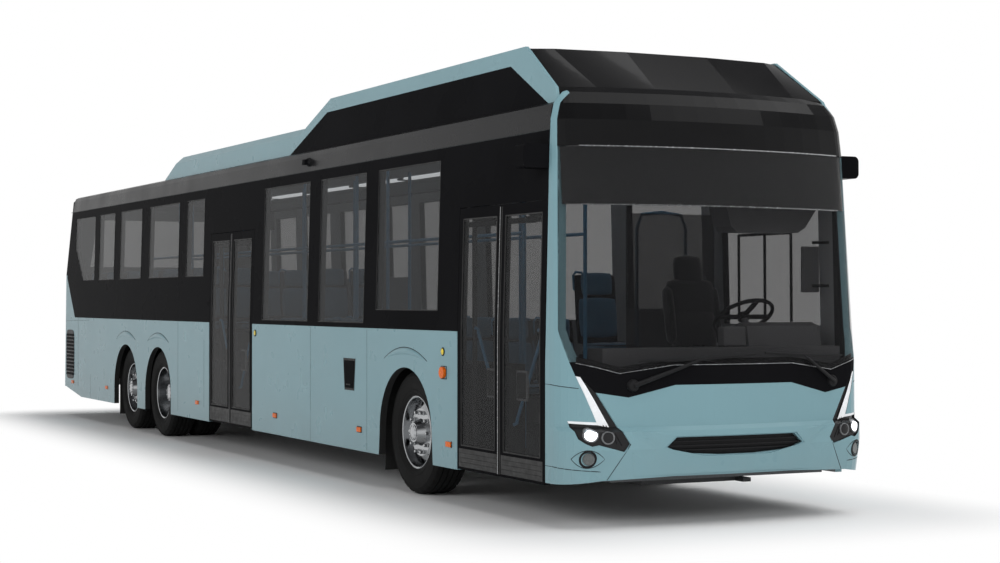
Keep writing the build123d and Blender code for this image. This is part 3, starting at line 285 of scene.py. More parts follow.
glow = finish_of("ceiling_glow", (0.90, 0.93, 0.95), 0.5, 0.02, 10.0, 0.05, emit=1.3)
# Dark gap colour for the panel joints; it also paints the shadow lines along the tops of the arch brows
gap_and_shade_dark = finish_of("gap_and_painted_shade", (0.012, 0.016, 0.017), 0.8, 0.2, 30.0, 0.1)


def wear_node(node, *mats):
    obj = nodes[node]
    obj.data.materials.clear()
    for mat in mats:
        obj.data.materials.append(mat)
    obj.data.shade_smooth()
    obj.data.set_sharp_from_angle(angle=radians(28))
    return obj


def repaint(obj, choose):
    """Gives each face of a node one of its materials by its middle and direction."""
    for face in obj.data.polygons:
        face.material_index = int(choose(face.center, face.normal))


def steps(a, b, count):
    return [a + (b - a) * k / count for k in range(count + 1)]


def along(a, b, count):
    """Evenly spaced points from one place to another."""
    return [tuple(p + (q - p) * t for p, q in zip(a, b)) for t in steps(0, 1, count)]


def outline(x0, x1, z0, z1):
    return [(x0, z0), (x1, z0), (x1, z1), (x0, z1)]


def circle(sides):
    return [(cos(2 * pi * k / sides), sin(2 * pi * k / sides)) for k in range(sides)]


def grid(wide, tall):
    """Faces between neighbouring points of a grid."""
    return [(k, k + 1, k + wide + 1, k + wide)
            for row in range(tall - 1) for k in range(row * wide, (row + 1) * wide - 1)]


def beside(pair, axis, value):
    """Three coordinates from the two across an axis and the one along it."""
    return (*pair[:axis], value, *pair[axis:])


CORNERS = ((-1, -1), (1, -1), (1, 1), (-1, 1))


# Meshes built in code, gathered into one piece each
class Form:
    def __init__(self):
        self.verts, self.faces, self.marks = [], [], []

    def add(self, verts, faces, mat=0):
        base = len(self.verts)
        self.verts += [tuple(v) for v in verts]
        self.faces += [tuple(base + i for i in face) for face in faces]
        self.marks += [mat] * len(faces)

    def box(self, low, high, mat=0, edge=0.004):
        """Box with chamfered edges."""
        mid = Vector([(a + b) / 2 for a, b in zip(low, high)])
        half = [abs(b - a) / 2 for a, b in zip(low, high)]
        edge = min(edge, 0.45 * min(half))
        corners = list(product((-1, 1), repeat=3))
        ids, verts = {}, []
        for signs in corners:
            for axis in range(3):
                point = [s * (h - edge) for s, h in zip(signs, half)]
                point[axis] = signs[axis] * half[axis]
                ids[(*signs, axis)] = len(verts)
                verts.append(mid + Vector(point))
        faces = [[ids[(*beside(pair, axis, s), axis)] for pair in CORNERS] for axis in range(3) for s in (-1, 1)]
        for axis in range(3):
            first, second = [i for i in range(3) if i != axis]
            bevel = ((-1, first), (1, first), (1, second), (-1, second))
            faces += [[ids[(*beside(pair, axis, s), kind)] for s, kind in bevel] for pair in CORNERS]
        faces += [[ids[(*signs, axis)] for axis in range(3)] for signs in corners]
        self.add(verts, faces, mat)

    def loop(self, rings, mat=0, closed=False, caps=True):
        """Skin over rings with the same number of points."""
        count = len(rings[0])
        faces = []
        for i in range(len(rings) - (0 if closed else 1)):
            for j in range(count):
                k = (j + 1) % count
                n = (i + 1) % len(rings)
                faces.append((i * count + j, i * count + k, n * count + k, n * count + j))
        if caps and not closed:
            faces.append(tuple(range(count)))
            faces.append(tuple((len(rings) - 1) * count + j for j in range(count)))
        self.add([p for ring in rings for p in ring], faces, mat)

    def tube(self, path, radius, mat=0, sides=10, flat=1.0):
        """Rod along a path; the radius is one number or one for each point."""
        path = [Vector(p) for p in path]
        sizes = radius if isinstance(radius, list) else [radius] * len(path)
        side = (path[1] - path[0]).normalized().orthogonal().normalized()
        rings = []
        for i, (point, size) in enumerate(zip(path, sizes)):
            run = (path[min(i + 1, len(path) - 1)] - path[max(i - 1, 0)]).normalized()
            side = (side - run * side.dot(run)).normalized()
            across = run.cross(side)
            rings.append([point + side * c * size * flat + across * s * size for c, s in circle(sides)])
        self.loop(rings, mat)

    def framed(self, place, corners, radius, mat=0, sides=8, count=6):
        """Bead around an outline laid on a surface."""
        for a, b in zip(corners, corners[1:] + corners[:1]):
            self.tube([place(*p) for p in along(a, b, count)], radius, mat, sides)

    def turned(self, profile, origin, axis, mat=0, sides=32, caps=True):
        """Turned form: radius and distance along the axis."""
        origin, axis = Vector(origin), Vector(axis).normalized()
        side = axis.orthogonal().normalized()
        across = axis.cross(side)
        self.loop([[origin + axis * out + (side * c + across * s) * radius for c, s in circle(sides)]
                   for radius, out in profile], mat, caps=caps)

    def slab(self, front, back, mat=0):
        """Plate between two outlines with the same number of points."""
        count = len(front)
        faces = [tuple(range(count)), tuple(range(count, 2 * count))]
        faces += [(j, (j + 1) % count, count + (j + 1) % count, count + j) for j in range(count)]
        self.add(list(front) + list(back), faces, mat)

    def side_plate(self, side, ring, out, mat=0, depth=0.005):
        self.slab([on_side(side, x, z, out) for x, z in ring], [on_side(side, x, z, out - depth) for x, z in ring], mat)

    def nose_turned(self, profile, y, z, mat=0, sides=40):
        """Round form on the nose: radius seen from the front and height over the skin."""
        self.loop([[on_nose(y + r * c, z + r * s, out) for c, s in circle(sides)] for r, out in profile],
                  mat, caps=False)

    def pillow(self, half, place, mat=0, cells=7, soft=0.45, pinch=0.05, crown=0.0):
        """Closed crowned cushion whose sides pull in between its corners."""
        verts, faces = [], []
        for axis in range(3):
            for s in (-1, 1):
                base = len(verts)
                for i, j in product(range(cells + 1), repeat=2):
                    a, b, c = key = beside((-1 + 2 * i / cells, -1 + 2 * j / cells), axis, s)
                    ball = (
                        a * sqrt(1 - b * b / 2 - c * c / 2 + b * b * c * c / 3),
                        b * sqrt(1 - a * a / 2 - c * c / 2 + a * a * c * c / 3),
                        c * sqrt(1 - a * a / 2 - b * b / 2 + a * a * b * b / 3),
                    )
                    point = [k * (1 - soft) + m * soft for k, m in zip(key, ball)]
                    point[0] *= 1 - pinch * (1 - b * b)
                    point[1] *= 1 - pinch * (1 - a * a)
                    point[2] += crown * (1 - a * a) * (1 - b * b) * (1 if c > 0 else 0)
                    verts.append(place @ Vector([p * h for p, h in zip(point, half)]))
                faces += [tuple(base + k for k in face) for face in grid(cells + 1, cells + 1)]
        self.add(verts, faces, mat)

    def piece(self, name, mats, body="body", slot=None, sharp=32, weld=False):
        mesh = bpy.data.meshes.new(name)
        mesh.from_pydata(self.verts, [], self.faces)
        for mat in mats:
            mesh.materials.append(mat)
        for face, mark in zip(mesh.polygons, self.marks):
            face.material_index = mark
        work = bmesh.new()
        work.from_mesh(mesh)
        if weld:
            bmesh.ops.remove_doubles(work, verts=work.verts, dist=0.0002)
        bmesh.ops.recalc_face_normals(work, faces=work.faces)
        work.to_mesh(mesh)
        work.free()
        mesh.shade_smooth()
        mesh.set_sharp_from_angle(angle=radians(sharp))
        obj = bpy.data.objects.new(name, mesh)
        scene.collection.objects.link(obj)
        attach(obj, body)
        return obj


# Finishes of the solids that stay
PLAIN = {
    "chassis_frame": steel, "floor": floor_cover, "axle_beams": steel, "wheel_housings": liner,
    "saloon_glass": side_glass, "roof_fairing": mint, "windscreen": screen_glass, "front_panel": mint,
    "grille": plastic, "camera_pods": black, "grab_rails": rail, "battery_packs": case, "drive_motor": case,
    "side_markers": amber, "steering_wheel": plastic, "rear_hatch": mint, "rear_lamps": red,
}
for node, mat in PLAIN.items():
    wear_node(node, mat)


def faces_in(at, way):
    return way.y * at.y < -0.5 * abs(at.y)


def skirt_part(at, way):
    if faces_in(at, way):
        return 1
    arch = any((at.x - x) ** 2 + (at.z - TYRE_R) ** 2 < ARCH_R**2 for x in AXLES.values())
    return 2 if arch and abs(way.y) < 0.5 and at.z > SKIRT_FOOT_Z else 0


repaint(wear_node("skirts", mint, pale_trim, liner), skirt_part)
repaint(wear_node("window_bands", black, pale_trim), faces_in)
repaint(wear_node("roof", roof_skin, ceiling), lambda at, way: way.z < -0.2)
repaint(wear_node("roof_pod", black, dome_black), lambda at, way: way.x > 0.2 or way.z > 0.6)
repaint(wear_node("front_corners", mint, plastic), lambda at, way: way.x < -0.3 or way.y * at.y < -0.25)
repaint(wear_node("front_mask", black, dome_black), lambda at, way: at.z > 2.6)
repaint(wear_node("rear_wall", mint, black, pale_trim),
        lambda at, way: 2 if way.x > 0.5 else (1 if at.z > 1.93 else 0))
repaint(wear_node("driver_cab", trim, smoked), lambda at, way: at.x < 5.5)
for name, _ in SIDES:
    wear_node(f"knuckle_{name}", steel)
    for axle in AXLES:
        wear_node(f"rim_{axle}_{name}", chrome)
LEAVES = []
for door, x0, x1 in (("front", 5.488, 6.936), ("mid", -0.786, 0.634)):
    middle = (x0 + x1) / 2
    LEAVES.append((f"door_{door}_rear", x0 + 0.005, middle - 0.0025))
    LEAVES.append((f"door_{door}_fore", middle + 0.0025, x1 - 0.005))
for leaf, *_ in LEAVES:
    wear_node(f"{leaf}_leaf", black)
    wear_node(f"{leaf}_glass", door_glass)
    wear_node(f"{leaf}_arm", arm_steel)


# Tyres with grooved treads and ribbed sidewalls: radius, distance from the middle and kind of each ring;
# cuts cross the ribs of kind 1 and notches the shoulders of kind 2
TYRE_HALF = [
    (0.2975, 0.112, 0), (0.300, 0.119, 0), (0.318, 0.130, 0), (0.330, 0.138, 0), (0.342, 0.1405, 0),
    (0.344, 0.1435, 0), (0.352, 0.1440, 0), (0.354, 0.1420, 0), (0.385, 0.1460, 0), (0.402, 0.1472, 0),
    (0.430, 0.1462, 0), (0.452, 0.1445, 0), (0.454, 0.1470, 0), (0.462, 0.1465, 0), (0.464, 0.1420, 0),
    (0.484, 0.1340, 2), (0.498, 0.1220, 2), (0.503, 0.1050, 2), (0.5045, 0.0800, 1), (0.4925, 0.0785, 0),
    (0.4925, 0.0695, 0), (0.5050, 0.0680, 1), (0.5050, 0.0300, 1), (0.4925, 0.0285, 0), (0.4925, 0.0195, 0),
    (0.5050, 0.0180, 1),
]
TYRE_RING = TYRE_HALF + [(r, -out, kind) for r, out, kind in reversed(TYRE_HALF)]
SEGMENTS = 120
NOTCH, CUT = 0.009, 0.004


def add_tyre(form, x, y):
    rings = []
    for k, (c, s) in enumerate(circle(SEGMENTS)):
        ring = []
        for r, out, kind in TYRE_RING:
            if kind == 2 and k % 4 == 0:
                r -= NOTCH
            if kind == 1 and (k + (2 if out > 0 else 0)) % 6 == 0:
                r -= CUT
            ring.append((x + r * c, y + out, TYRE_R + r * s))
        rings.append(ring)
    form.loop(rings, 0, closed=True)


# Wheel details as radius and distance outward
NUT = [(0.019, 0.0), (0.019, 0.006), (0.0155, 0.008), (0.0155, 0.026), (0.012, 0.034), (0.006, 0.037)]
CAP_BOLT = [(0.007, 0.004), (0.007, 0.012), (0.004, 0.014), (0.0, 0.014)]
RIM_LIP = [(0.2965, 0.113), (0.3005, 0.1165), (0.2985, 0.1215), (0.293, 0.1225), (0.2845, 0.1185), (0.2842, 0.112)]
VALVE = [(0.262, 0.02), (0.268, 0.075), (0.262, 0.10)]
NUT_RING_R = 0.1675
for name, side in SIDES:
    outward = (0, side, 0)
    for axle, x in AXLES.items():
        twin = axle == "drive"
        y = side * (TWIN_Y if twin else TRACK_Y)
        tyre = Form()
        add_tyre(tyre, x, y)
        if twin:
            add_tyre(tyre, x, y - side * TWIN_PITCH)
        body = f"wheel_{axle}_{name}"
        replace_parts(tyre.piece(f"tread_{axle}_{name}", [rubber], body, "tyre", sharp=24), f"tyre_{axle}_{name}")
        detail = Form()
        face = y + side * (-0.1445 if twin else 0.0843)
        for c, s in circle(10):
            detail.turned(NUT, (x + NUT_RING_R * c, face, TYRE_R + NUT_RING_R * s), outward, 0, 6)
        hub = y + side * (0.060 if twin else 0.152)
        cap_r = 0.086 if twin else 0.066
        cap = [(cap_r, -0.002), (cap_r, 0.004), (cap_r - 0.012, 0.009), (cap_r - 0.03, 0.012), (0.0, 0.013)]
        detail.turned(cap, (x, hub, TYRE_R), outward, 1, 40)
        bolt_r = cap_r - 0.014
        for c, s in circle(16)[1::2]:
            detail.turned(CAP_BOLT, (x + bolt_r * c, hub, TYRE_R + bolt_r * s), outward, 0, 6)
        detail.turned(RIM_LIP, (x, y, TYRE_R), outward, 1, 96, caps=False)
        detail.tube([(x + r, y + side * out, TYRE_R) for r, out in VALVE], 0.005, 2, 8)
        detail.piece(f"wheel_nuts_{axle}_{name}", [nut_steel, chrome, seal], body, "polished_rim")


# Places on the solids, found by casting a line at them
def hit(names, start, way):
    start, way = Vector(start), Vector(way)
    found = [nodes[name].ray_cast(start, way) for name in names]
    places = [at for ok, at, *_ in found if ok]
    return min(places, key=lambda at: (at - start).length) if places else None


def roof_top(x, y):
    return hit(("roof", "roof_fairing", "roof_pod"), (x, y, 5.0), (0, 0, -1))


def tail_at(y, z, out=0.0):
    at = hit(("rear_wall", "rear_hatch", "rear_lamps", "saloon_glass"), (-9.0, y, z), (1, 0, 0))
    return at - Vector((out, 0, 0))


def inside(ring, y, z):
    """Tells whether a point lies within a closed outline."""
    found = False
    for (y0, z0), (y1, z1) in zip(ring, ring[1:] + ring[:1]):
        if (z0 > z) != (z1 > z) and y < (y1 - y0) * (z - z0) / (z1 - z0) + y0:
            found = not found
    return found


# Lamp units: light blade, two round lenses and the fog lamps
BLADE = [(1.183, 1.067), (1.056, 0.749), (1.223, 0.757), (1.221, 0.740), (1.050, 0.729), (0.966, 0.713),
         (1.155, 1.061)]
LENSES = [(1.118, 0.664, 0.044), (1.000, 0.645, 0.040)]
FOG_Z = 0.497
FOG_TURN = radians(30)
CORNER_R = 0.283
LENS_RING = ((0.008, -0.015), (0.008, -0.005), (0.004, -0.002), (0.0, -0.003), (-0.003, -0.0056))


def lamp_part(at, way):
    y, z = abs(at.y), at.z
    if z < 0.56 and y > 1.0:
        return 3
    if way.x > 0.3 and inside(BLADE, y, z):
        return 1
    return 2 if any((y - ly) ** 2 + (z - lz) ** 2 < (r * 1.02) ** 2 for ly, lz, r in LENSES) else 0


repaint(wear_node("headlamps", lamp_dark, blade_light, lens, fog_glass), lamp_part)
lamps = Form()
for side in (-1, 1):
    for number, (y, z, r) in enumerate(LENSES):
        lamps.nose_turned([(r + wider, out) for wider, out in LENS_RING], side * y, z, 0)
        bulge = [(r - 0.003, -0.0058), (r * 0.75, -0.003), (r * 0.4, -0.001), (0.001, -0.0005)]
        lamps.nose_turned(bulge, side * y, z, 1 + number)
    for k in range(3):
        low, high = (side * (0.90 + 0.035 * k), 0.590 + 0.012 * k), (side * (1.02 + 0.035 * k), 0.80 + 0.075 * k)
        lamps.tube([on_nose(y, z, -0.0125) for y, z in along(low, high, 8)], 0.003, 3, 6)
    for r, out in ((0.047, -0.012), (0.053, -0.009)):
        profile = ((r, out), (r, 0.001), (r + 0.004, 0.0025), (r + 0.009, 0.0015), (r + 0.010, -0.003))
        lamps.loop([[on_corner(side, FOG_TURN + r * c / CORNER_R, FOG_Z + r * s, rise) for c, s in circle(40)]
                    for r, rise in profile], 3, caps=False)
    for bend in (0.062, -0.062):
        lamps.tube([on_corner(side, FOG_TURN + 0.12 * t / CORNER_R, FOG_Z + bend * (1 - t * t), -0.0012)
                    for t in steps(-1, 1, 20)], 0.0026, 4, 6)
lamps.piece("lamp_rings", [case, lit, lamp_dark, plastic, gap_and_shade_dark])


# Sculpted planes of the lower nose: ledge over the grille, cheeks beside it and the lip under it
def nose_patch(form, corners, mat=0, across=8, down=2):
    """Patch standing out from the nose; its four corners are y, z and height over the skin."""
    a, b, c, d = [Vector(corner) for corner in corners]
    wide = across + 1
    flat = [a.lerp(d, s).lerp(b.lerp(c, s), t) for s in steps(0, 1, down) for t in steps(0, 1, across)]
    last = down * wide
    rim = [*range(wide), *range(2 * wide - 1, last + wide, wide), *range(last + across - 1, last - 1, -1),
           *range(last - wide, 0, -wide)]
    verts = [on_nose(*p) for p in flat] + [on_nose(flat[k].x, flat[k].y, -0.004) for k in rim]
    base, count = len(flat), len(rim)
    edges = [(rim[k], rim[(k + 1) % count], base + (k + 1) % count, base + k) for k in range(count)]
    form.add(verts, grid(wide, down + 1) + edges, mat)


planes = Form()
nose_patch(planes, [(-0.54, 0.684, 0.0005), (0.54, 0.684, 0.0005), (0.505, 0.645, 0.013), (-0.505, 0.645, 0.013)],
           across=16)
nose_patch(planes, [(-0.275, 0.502, 0.008), (0.275, 0.502, 0.008), (0.285, 0.385, 0.014), (-0.285, 0.385, 0.014)],
           across=10)
for side in (-1, 1):
    tip, heel, eye = (side * 0.86, 0.700, 0.0005), (side * 0.54, 0.684, 0.0005), (side * 0.505, 0.645, 0.013)
    foot, low = (side * 0.590, 0.566, 0.004), (side * 0.80, 0.372, 0.0005)
    lip, chin = (side * 0.275, 0.502, 0.008), (side * 0.285, 0.385, 0.014)
    for corners in ((tip, heel, eye, eye), (tip, eye, foot, foot), (tip, foot, low, low), (foot, lip, chin, low)):
        nose_patch(planes, corners)
planes.piece("nose_planes", [mint], slot="mint_paint", sharp=6)

# Panel gaps, arch brows with a painted shadow line along the top of each, and side fittings
SUNK = -0.0018
GAP_R = 0.003
SEAMS = {
    -1: [(-1.94, 0.34, 1.345), (-5.923, 0.31, 0.61), (-0.97, 0.43, 1.16), (2.29, 0.29, 1.344), (3.66, 0.30, 1.336),
         (-6.60, 0.42, 1.345)],
    1: [(-1.94, 0.34, 1.345), (-0.97, 0.43, 1.16), (0.55, 0.29, 1.344), (2.29, 0.29, 1.344), (3.66, 0.30, 1.336),
        (5.35, 0.29, 1.344), (-5.923, 0.31, 1.345), (-6.60, 0.42, 1.345)],
}
BROW_Z, BROW_HALF, BROW_SAG, BROW_DEPTH = 1.203, 0.44, 0.103, 0.060
BROW_BULGE = ((0.0, -0.004), (0.02, 0.0015), (0.25, 0.010), (0.50, 0.016), (0.78, 0.009), (1.0, -0.004))
gaps_and_shadow_lines, brows = Form(), Form()
for side in (-1, 1):
    for x, z0, z1 in SEAMS[side]:
        gaps_and_shadow_lines.tube([on_side(side, x, z, SUNK) for z in steps(z0, z1, 6)], GAP_R, 0, 6)
    gaps_and_shadow_lines.tube([on_side(side, x, 2.79, SUNK) for x in steps(-7.15, 6.90, 40)], 0.004, 0, 6)
    gaps_and_shadow_lines.tube([on_side(side, x, z, -0.0022) for x, z in along((-7.28, 1.30), (-6.0, 1.32), 8)], GAP_R, 0, 6)
    for x in AXLES.values():
        rings = []
        for t in steps(-1, 1, 28):
            fade = 1 - t * t
            high = BROW_Z - BROW_SAG * t * t
            low = high - BROW_DEPTH * fade - 0.0015
            rings.append([on_side(side, x + BROW_HALF * t, high + (low - high) * f, 0.0004 + out * fade)
                          for f, out in BROW_BULGE])
        brows.loop(rings, 0)
        # Painted shadow: a dark line in the gap colour along each brow's top edge, where the step's shade falls
        gaps_and_shadow_lines.tube([on_side(side, x + BROW_HALF * t, BROW_Z + 0.0015 - BROW_SAG * t * t, -0.0012)
                   for t in steps(-1, 1, 28)], 0.0036, 0, 6)
    for z, drop, sweep, last in ((1.004, 0.022, 52, 37), (0.434, 0.027, 90, 9)):
        edge = [on_side(side, x, z, SUNK) for x in (6.942, 7.0)]
        edge += [on_corner(side, radians(a), z - drop * (90 - a) / sweep, SUNK) for a in range(90, last, -4)]
        gaps_and_shadow_lines.tube(edge, GAP_R, 0, 6)
    gaps_and_shadow_lines.tube([on_nose(side * (0.84 + 0.15 * t), 0.598 - 0.248 * t, SUNK) for t in steps(0, 1, 8)], GAP_R, 0, 6)
gaps_and_shadow_lines.piece("gaps_and_brow_shadow_lines", [gap_and_shade_dark], slot="mint_paint")
brows.piece("arch_brows", [mint], slot="mint_paint", sharp=50)


def squared(c):
    return abs(c) ** 0.35 * (1 if c > 0 else -1)


VENT = [(-7.045 + 0.225 * squared(c), 0.845 + 0.335 * squared(s)) for c, s in circle(40)]
LOUVRE = ((0.016, 0.002), (0.010, 0.009), (-0.014, 0.013), (-0.016, 0.002))
FLAP = [(3.12, 1.08), (3.40, 1.08), (3.37, 0.80), (3.15, 0.80)]
MARKERS = (5.242, 5.346, 3.495, 1.324, -1.202, -5.085, -6.89)
MARKER_REACH = 0.045
MARKER_EDGE = 0.004
fittings = Form()
for side in (-1, 1):
    corners = [v.co for v in nodes["side_markers"].data.vertices if v.co.y * side > 0]
    for x in MARKERS:
        near = [p for p in corners if abs(p.x - x) < MARKER_REACH]
        if near:
            x0, x1 = min(p.x for p in near) - MARKER_EDGE, max(p.x for p in near) + MARKER_EDGE
            z0, z1 = min(p.z for p in near) - MARKER_EDGE, max(p.z for p in near) + MARKER_EDGE
            ring = outline(x0, x1, z0, z1)
            fittings.tube([on_side(side, px, pz, 0.0005) for px, pz in ring + ring[:1]], MARKER_EDGE, 0, 8)
    fittings.side_plate(side, VENT, 0.003, 0)
    for z in steps(0.58, 1.11, 11):
        fittings.loop([[on_side(side, x, z + rise, out) for rise, out in LOUVRE] for x in (-7.235, -7.045, -6.855)], 1)
    if side < 0:
        fittings.side_plate(side, FLAP, 0.003, 0)
        fittings.side_plate(side, [(3.26 + (x - 3.26) * 0.86, 0.94 + (z - 0.94) * 0.86) for x, z in FLAP], 0.007, 1)
        fittings.tube([on_side(side, x, 0.85, 0.008) for x in (3.21, 3.31)], 0.007, 0, 8)
        fittings.turned([(0.040, -0.02), (0.040, 0.012), (0.032, 0.026), (0.018, 0.034), (0.001, 0.036)],
                        on_side(side, 2.142, 2.877), (0, side, -0.25), 0, 28)
for x, z in ((5.224, 1.187), (0.728, 1.26)):
    at = on_side(-1, x, z)
    bezel = [(0.034, -0.002), (0.034, 0.003), (0.030, 0.006), (0.025, 0.006)]
    fittings.turned(bezel, at, (0, -1, 0), 0, 32, caps=False)
    fittings.turned([(0.025, 0.0), (0.025, 0.007), (0.020, 0.010), (0.001, 0.011)], at, (0, -1, 0), 2, 28)
fittings.piece("side_fittings", [plastic, black, yellow], slot="black_plastic")

# Edges of the panes
PANES = [(-5.57, -4.80, 1.85), (-4.53, -3.54, 1.85), (-3.20, -1.98, 1.85), (-1.69, -1.04, 1.85), (0.93, 2.20, 1.395),
         (2.49, 3.575, 1.395), (3.855, 5.11, 1.51)]
LEFT_PANE = (-0.76, 0.64, 1.395)
PANE_TOP = 2.69
beads = Form()
for side in (-1, 1):
    for x0, x1, sill in PANES + ([LEFT_PANE] if side > 0 else []):
        beads.framed(lambda x, z: on_side(side, x, z, -0.001), outline(x0, x1, sill, PANE_TOP), 0.0045, 0, 6, 4)
beads.piece("pane_beads", [seal], slot="black_plastic")

# Doors: closing seals, pane beads, kick plates, slanted bars and button boxes
SEAL_Z = steps(0.31, 2.28, 12)
for leaf, x0, x1 in LEAVES:
    way = 1 if leaf.endswith("rear") else -1
    close, post = (x1, x0) if way > 0 else (x0, x1)
    trims = Form()
    trims.tube([on_side(-1, close - way * 0.010, z, -0.001) for z in SEAL_Z], 0.006, 0, 8)
    if way > 0:
        trims.tube([on_side(-1, close - 0.020, z, 0.0) for z in SEAL_Z], 0.003, 1, 6)
    trims.framed(lambda x, z: on_side(-1, x, z, -0.001), outline(x0 + 0.07, x1 - 0.07, 0.48, 2.21), 0.006)
    trims.side_plate(-1, outline(x0 + 0.03, x1 - 0.03, 0.315, 0.455), 0.002, 0, 0.004)
    for z in (0.35, 0.385, 0.42):
        trims.tube([on_side(-1, x, z, 0.002) for x in steps(x0 + 0.05, x1 - 0.05, 4)], 0.003, 0, 6)
    far, near = close - way * 0.13, post + way * 0.20
    grip = [(near, -1.222, 1.38), (near, -1.196, 1.37), (near, -1.190, 1.34),
            (far, -1.190, 0.72), (far, -1.196, 0.69), (far, -1.222, 0.68)]
    trims.tube(grip, 0.013, 2, 12)
    mid = (near + far) / 2 + way * 0.08
    trims.box((mid - 0.085, -1.214, 0.86), (mid + 0.085, -1.195, 1.08), 3, 0.006)
    trims.box((mid - 0.07, -1.218, 0.875), (mid + 0.07, -1.205, 1.065), 0, 0.004)
    trims.piece(f"{leaf}_trims", [seal, nut_steel, rail, pale_trim], leaf, "black_plastic")


# Passenger seats: crowned pads and backs on plastic shells with cantilever stands
def cushion_place(centre, up, out):
    up, out = Vector(up).normalized(), Vector(out).normalized()
    place = Matrix((up, out.cross(up), out)).transposed().to_4x4()
    place.translation = Vector(centre)
    return place


SEAT_H = 0.45
FLAT = ((1, 0, 0), (0, 0, 1))
LEANED = ((-0.06, 0, 0.60), (0.60, 0, 0.06))
ROWS = [(x, -1, FLOOR_Z) for x in (1.15, 1.95, 2.75)] + [(x, 1, FLOOR_Z) for x in (-0.25, 0.55, 1.35, 2.15, 2.95)]
ROWS += [(x, side, DECK_Z) for x in (-1.75, -2.95, -3.75, -4.55, -5.55, -6.35) for side in (-1, 1)]
BACKS = ((0.03, 0.395, 0.196), (0.405, 0.610, 0.160))
WELT = [(0.02, -0.19), (0.41, -0.19), (0.422, -0.10), (0.422, 0.10), (0.41, 0.19), (0.02, 0.19)]
HANDLE = [(0.0, 0.0, -0.16), (-0.012, 0.030, -0.14), (-0.016, 0.036, -0.02), (-0.018, 0.01, 0.012),
          (-0.012, -0.05, 0.004)]
pads, shells = Form(), Form()


def add_seat(x, y, top, aisle):
    pads.pillow((0.213, 0.208, 0.040), cushion_place((x + 0.216, y, top - 0.046), *FLAT), 0, 7, 0.34, 0.03, 0.18)
    for low, high, half_y in BACKS:
        mid = (low + high) / 2
        place = cushion_place((x - 0.1 * mid - 0.022, y, top + mid), *LEANED)
        pads.pillow(((high - low) / 2, half_y, 0.026), place, 0, 7, 0.38, 0.04, 0.30)
    pads.tube([(x + px, y + py, top - 0.024) for px, py in WELT], 0.005, 1, 6)
    for offset in (-0.10, 0.10):
        pads.tube([(x + t, y + offset, top - 0.002 + 0.006 * sin(pi * t / 0.43)) for t in steps(0.03, 0.40, 6)],
                  0.0028, 1, 6)
    shells.pillow((0.318, 0.213, 0.010), cushion_place((x - 0.082, y, top + 0.285), *LEANED), 0, 6, 0.22, 0.03)
    shells.pillow((0.212, 0.211, 0.008), cushion_place((x + 0.214, y, top - 0.088), *FLAT), 0, 6, 0.25, 0.03)
    shells.tube([(x - 0.115 + px, y + aisle * 0.165 + aisle * py, top + 0.60 + pz) for px, py, pz in HANDLE],
                0.011, 1, 10)


for x, side, foot in ROWS:
    top = foot + SEAT_H
    for step in (0, 1):
        add_seat(x, side * (0.32 + step * 0.445 + 0.215), top, -side)
    for y in (0.37, 1.13):
        shells.box((x + 0.07, side * y - 0.03, top - 0.128), (x + 0.29, side * y + 0.03, top - 0.094), 2, 0.006)
    for px in (x + 0.10, x + 0.26):
        shells.tube([(px, side * 0.35, top - 0.112), (px, side * 1.15, top - 0.112)], 0.017, 2, 10)
    stand = ((0.24, 0.11, foot), (0.24, 0.11, foot + 0.012), (0.14, 0.06, foot + 0.03), (0.12, 0.05, top - 0.16),
             (0.22, 0.08, top - 0.12))
    shells.loop([[(x + 0.18 + sx * 0.5 * wide, side * 0.49 + sy * 0.5 * deep, z) for sx, sy in CORNERS]
                 for wide, deep, z in stand], 2)
shells.box((4.30, 0.44, 1.077), (4.74, 0.88, 1.12), 0, 0.012)
add_seat(4.31, 0.66, 1.225, -1)
cushions = pads.piece("seat_cushions", [cloth, seal], slot="seat_fabric", sharp=60, weld=True)
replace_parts(cushions, "seats")
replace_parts(shells.piece("seat_shells", [plastic, rail, case], slot="seat_fabric", sharp=40, weld=True), "seats")

# Driver's seat on a bellows stand
chair, mount = Form(), Form()
DRIVER_Y = 0.70
seat_z = CAB_Z + 0.48
BACK_LEAN = 0.177
RECLINED = ((-0.14, 0, 0.79), (0.79, 0, 0.14))
EIGHT = ((-1, -0.8), (-0.8, -1), (0.8, -1), (1, -0.8), (1, 0.8), (0.8, 1), (-0.8, 1), (-1, 0.8))
chair.pillow((0.225, 0.240, 0.055), cushion_place((5.97, DRIVER_Y, seat_z - 0.055), *FLAT), 0, 8, 0.36, 0.04, 0.15)
for y in (0.47, 0.93):
    chair.pillow((0.20, 0.040, 0.050), cushion_place((5.96, y, seat_z - 0.025), *FLAT), 0, 6, 0.45, 0.04, 0.10)
for low, high, half_y, thick in ((0.0, 0.36, 0.225, 0.060), (0.28, 0.60, 0.240, 0.060), (0.52, 0.785, 0.135, 0.050)):
    mid = (low + high) / 2
    place = cushion_place((5.785 - BACK_LEAN * mid, DRIVER_Y, seat_z + mid), *RECLINED)
    chair.pillow(((high - low) / 2, half_y, thick), place, 0, 8, 0.60, 0.03, 0.25)
for y in (0.485, 0.915):
    place = cushion_place((5.79 - BACK_LEAN * 0.30, y, seat_z + 0.30), *RECLINED)
    chair.pillow((0.24, 0.030, 0.052), place, 0, 6, 0.45, 0.04, 0.2)
rings = []
for k, z in enumerate(steps(CAB_Z + 0.06, seat_z - 0.13, 10)):
    grow = 0.012 if k % 2 else -0.008
    rings.append([(5.95 + sx * (0.15 + grow), DRIVER_Y + sy * (0.17 + grow), z) for sx, sy in EIGHT])
mount.loop(rings, 0)
mount.box((5.79, 0.51, CAB_Z + 0.001), (6.11, 0.89, CAB_Z + 0.06), 1, 0.010)
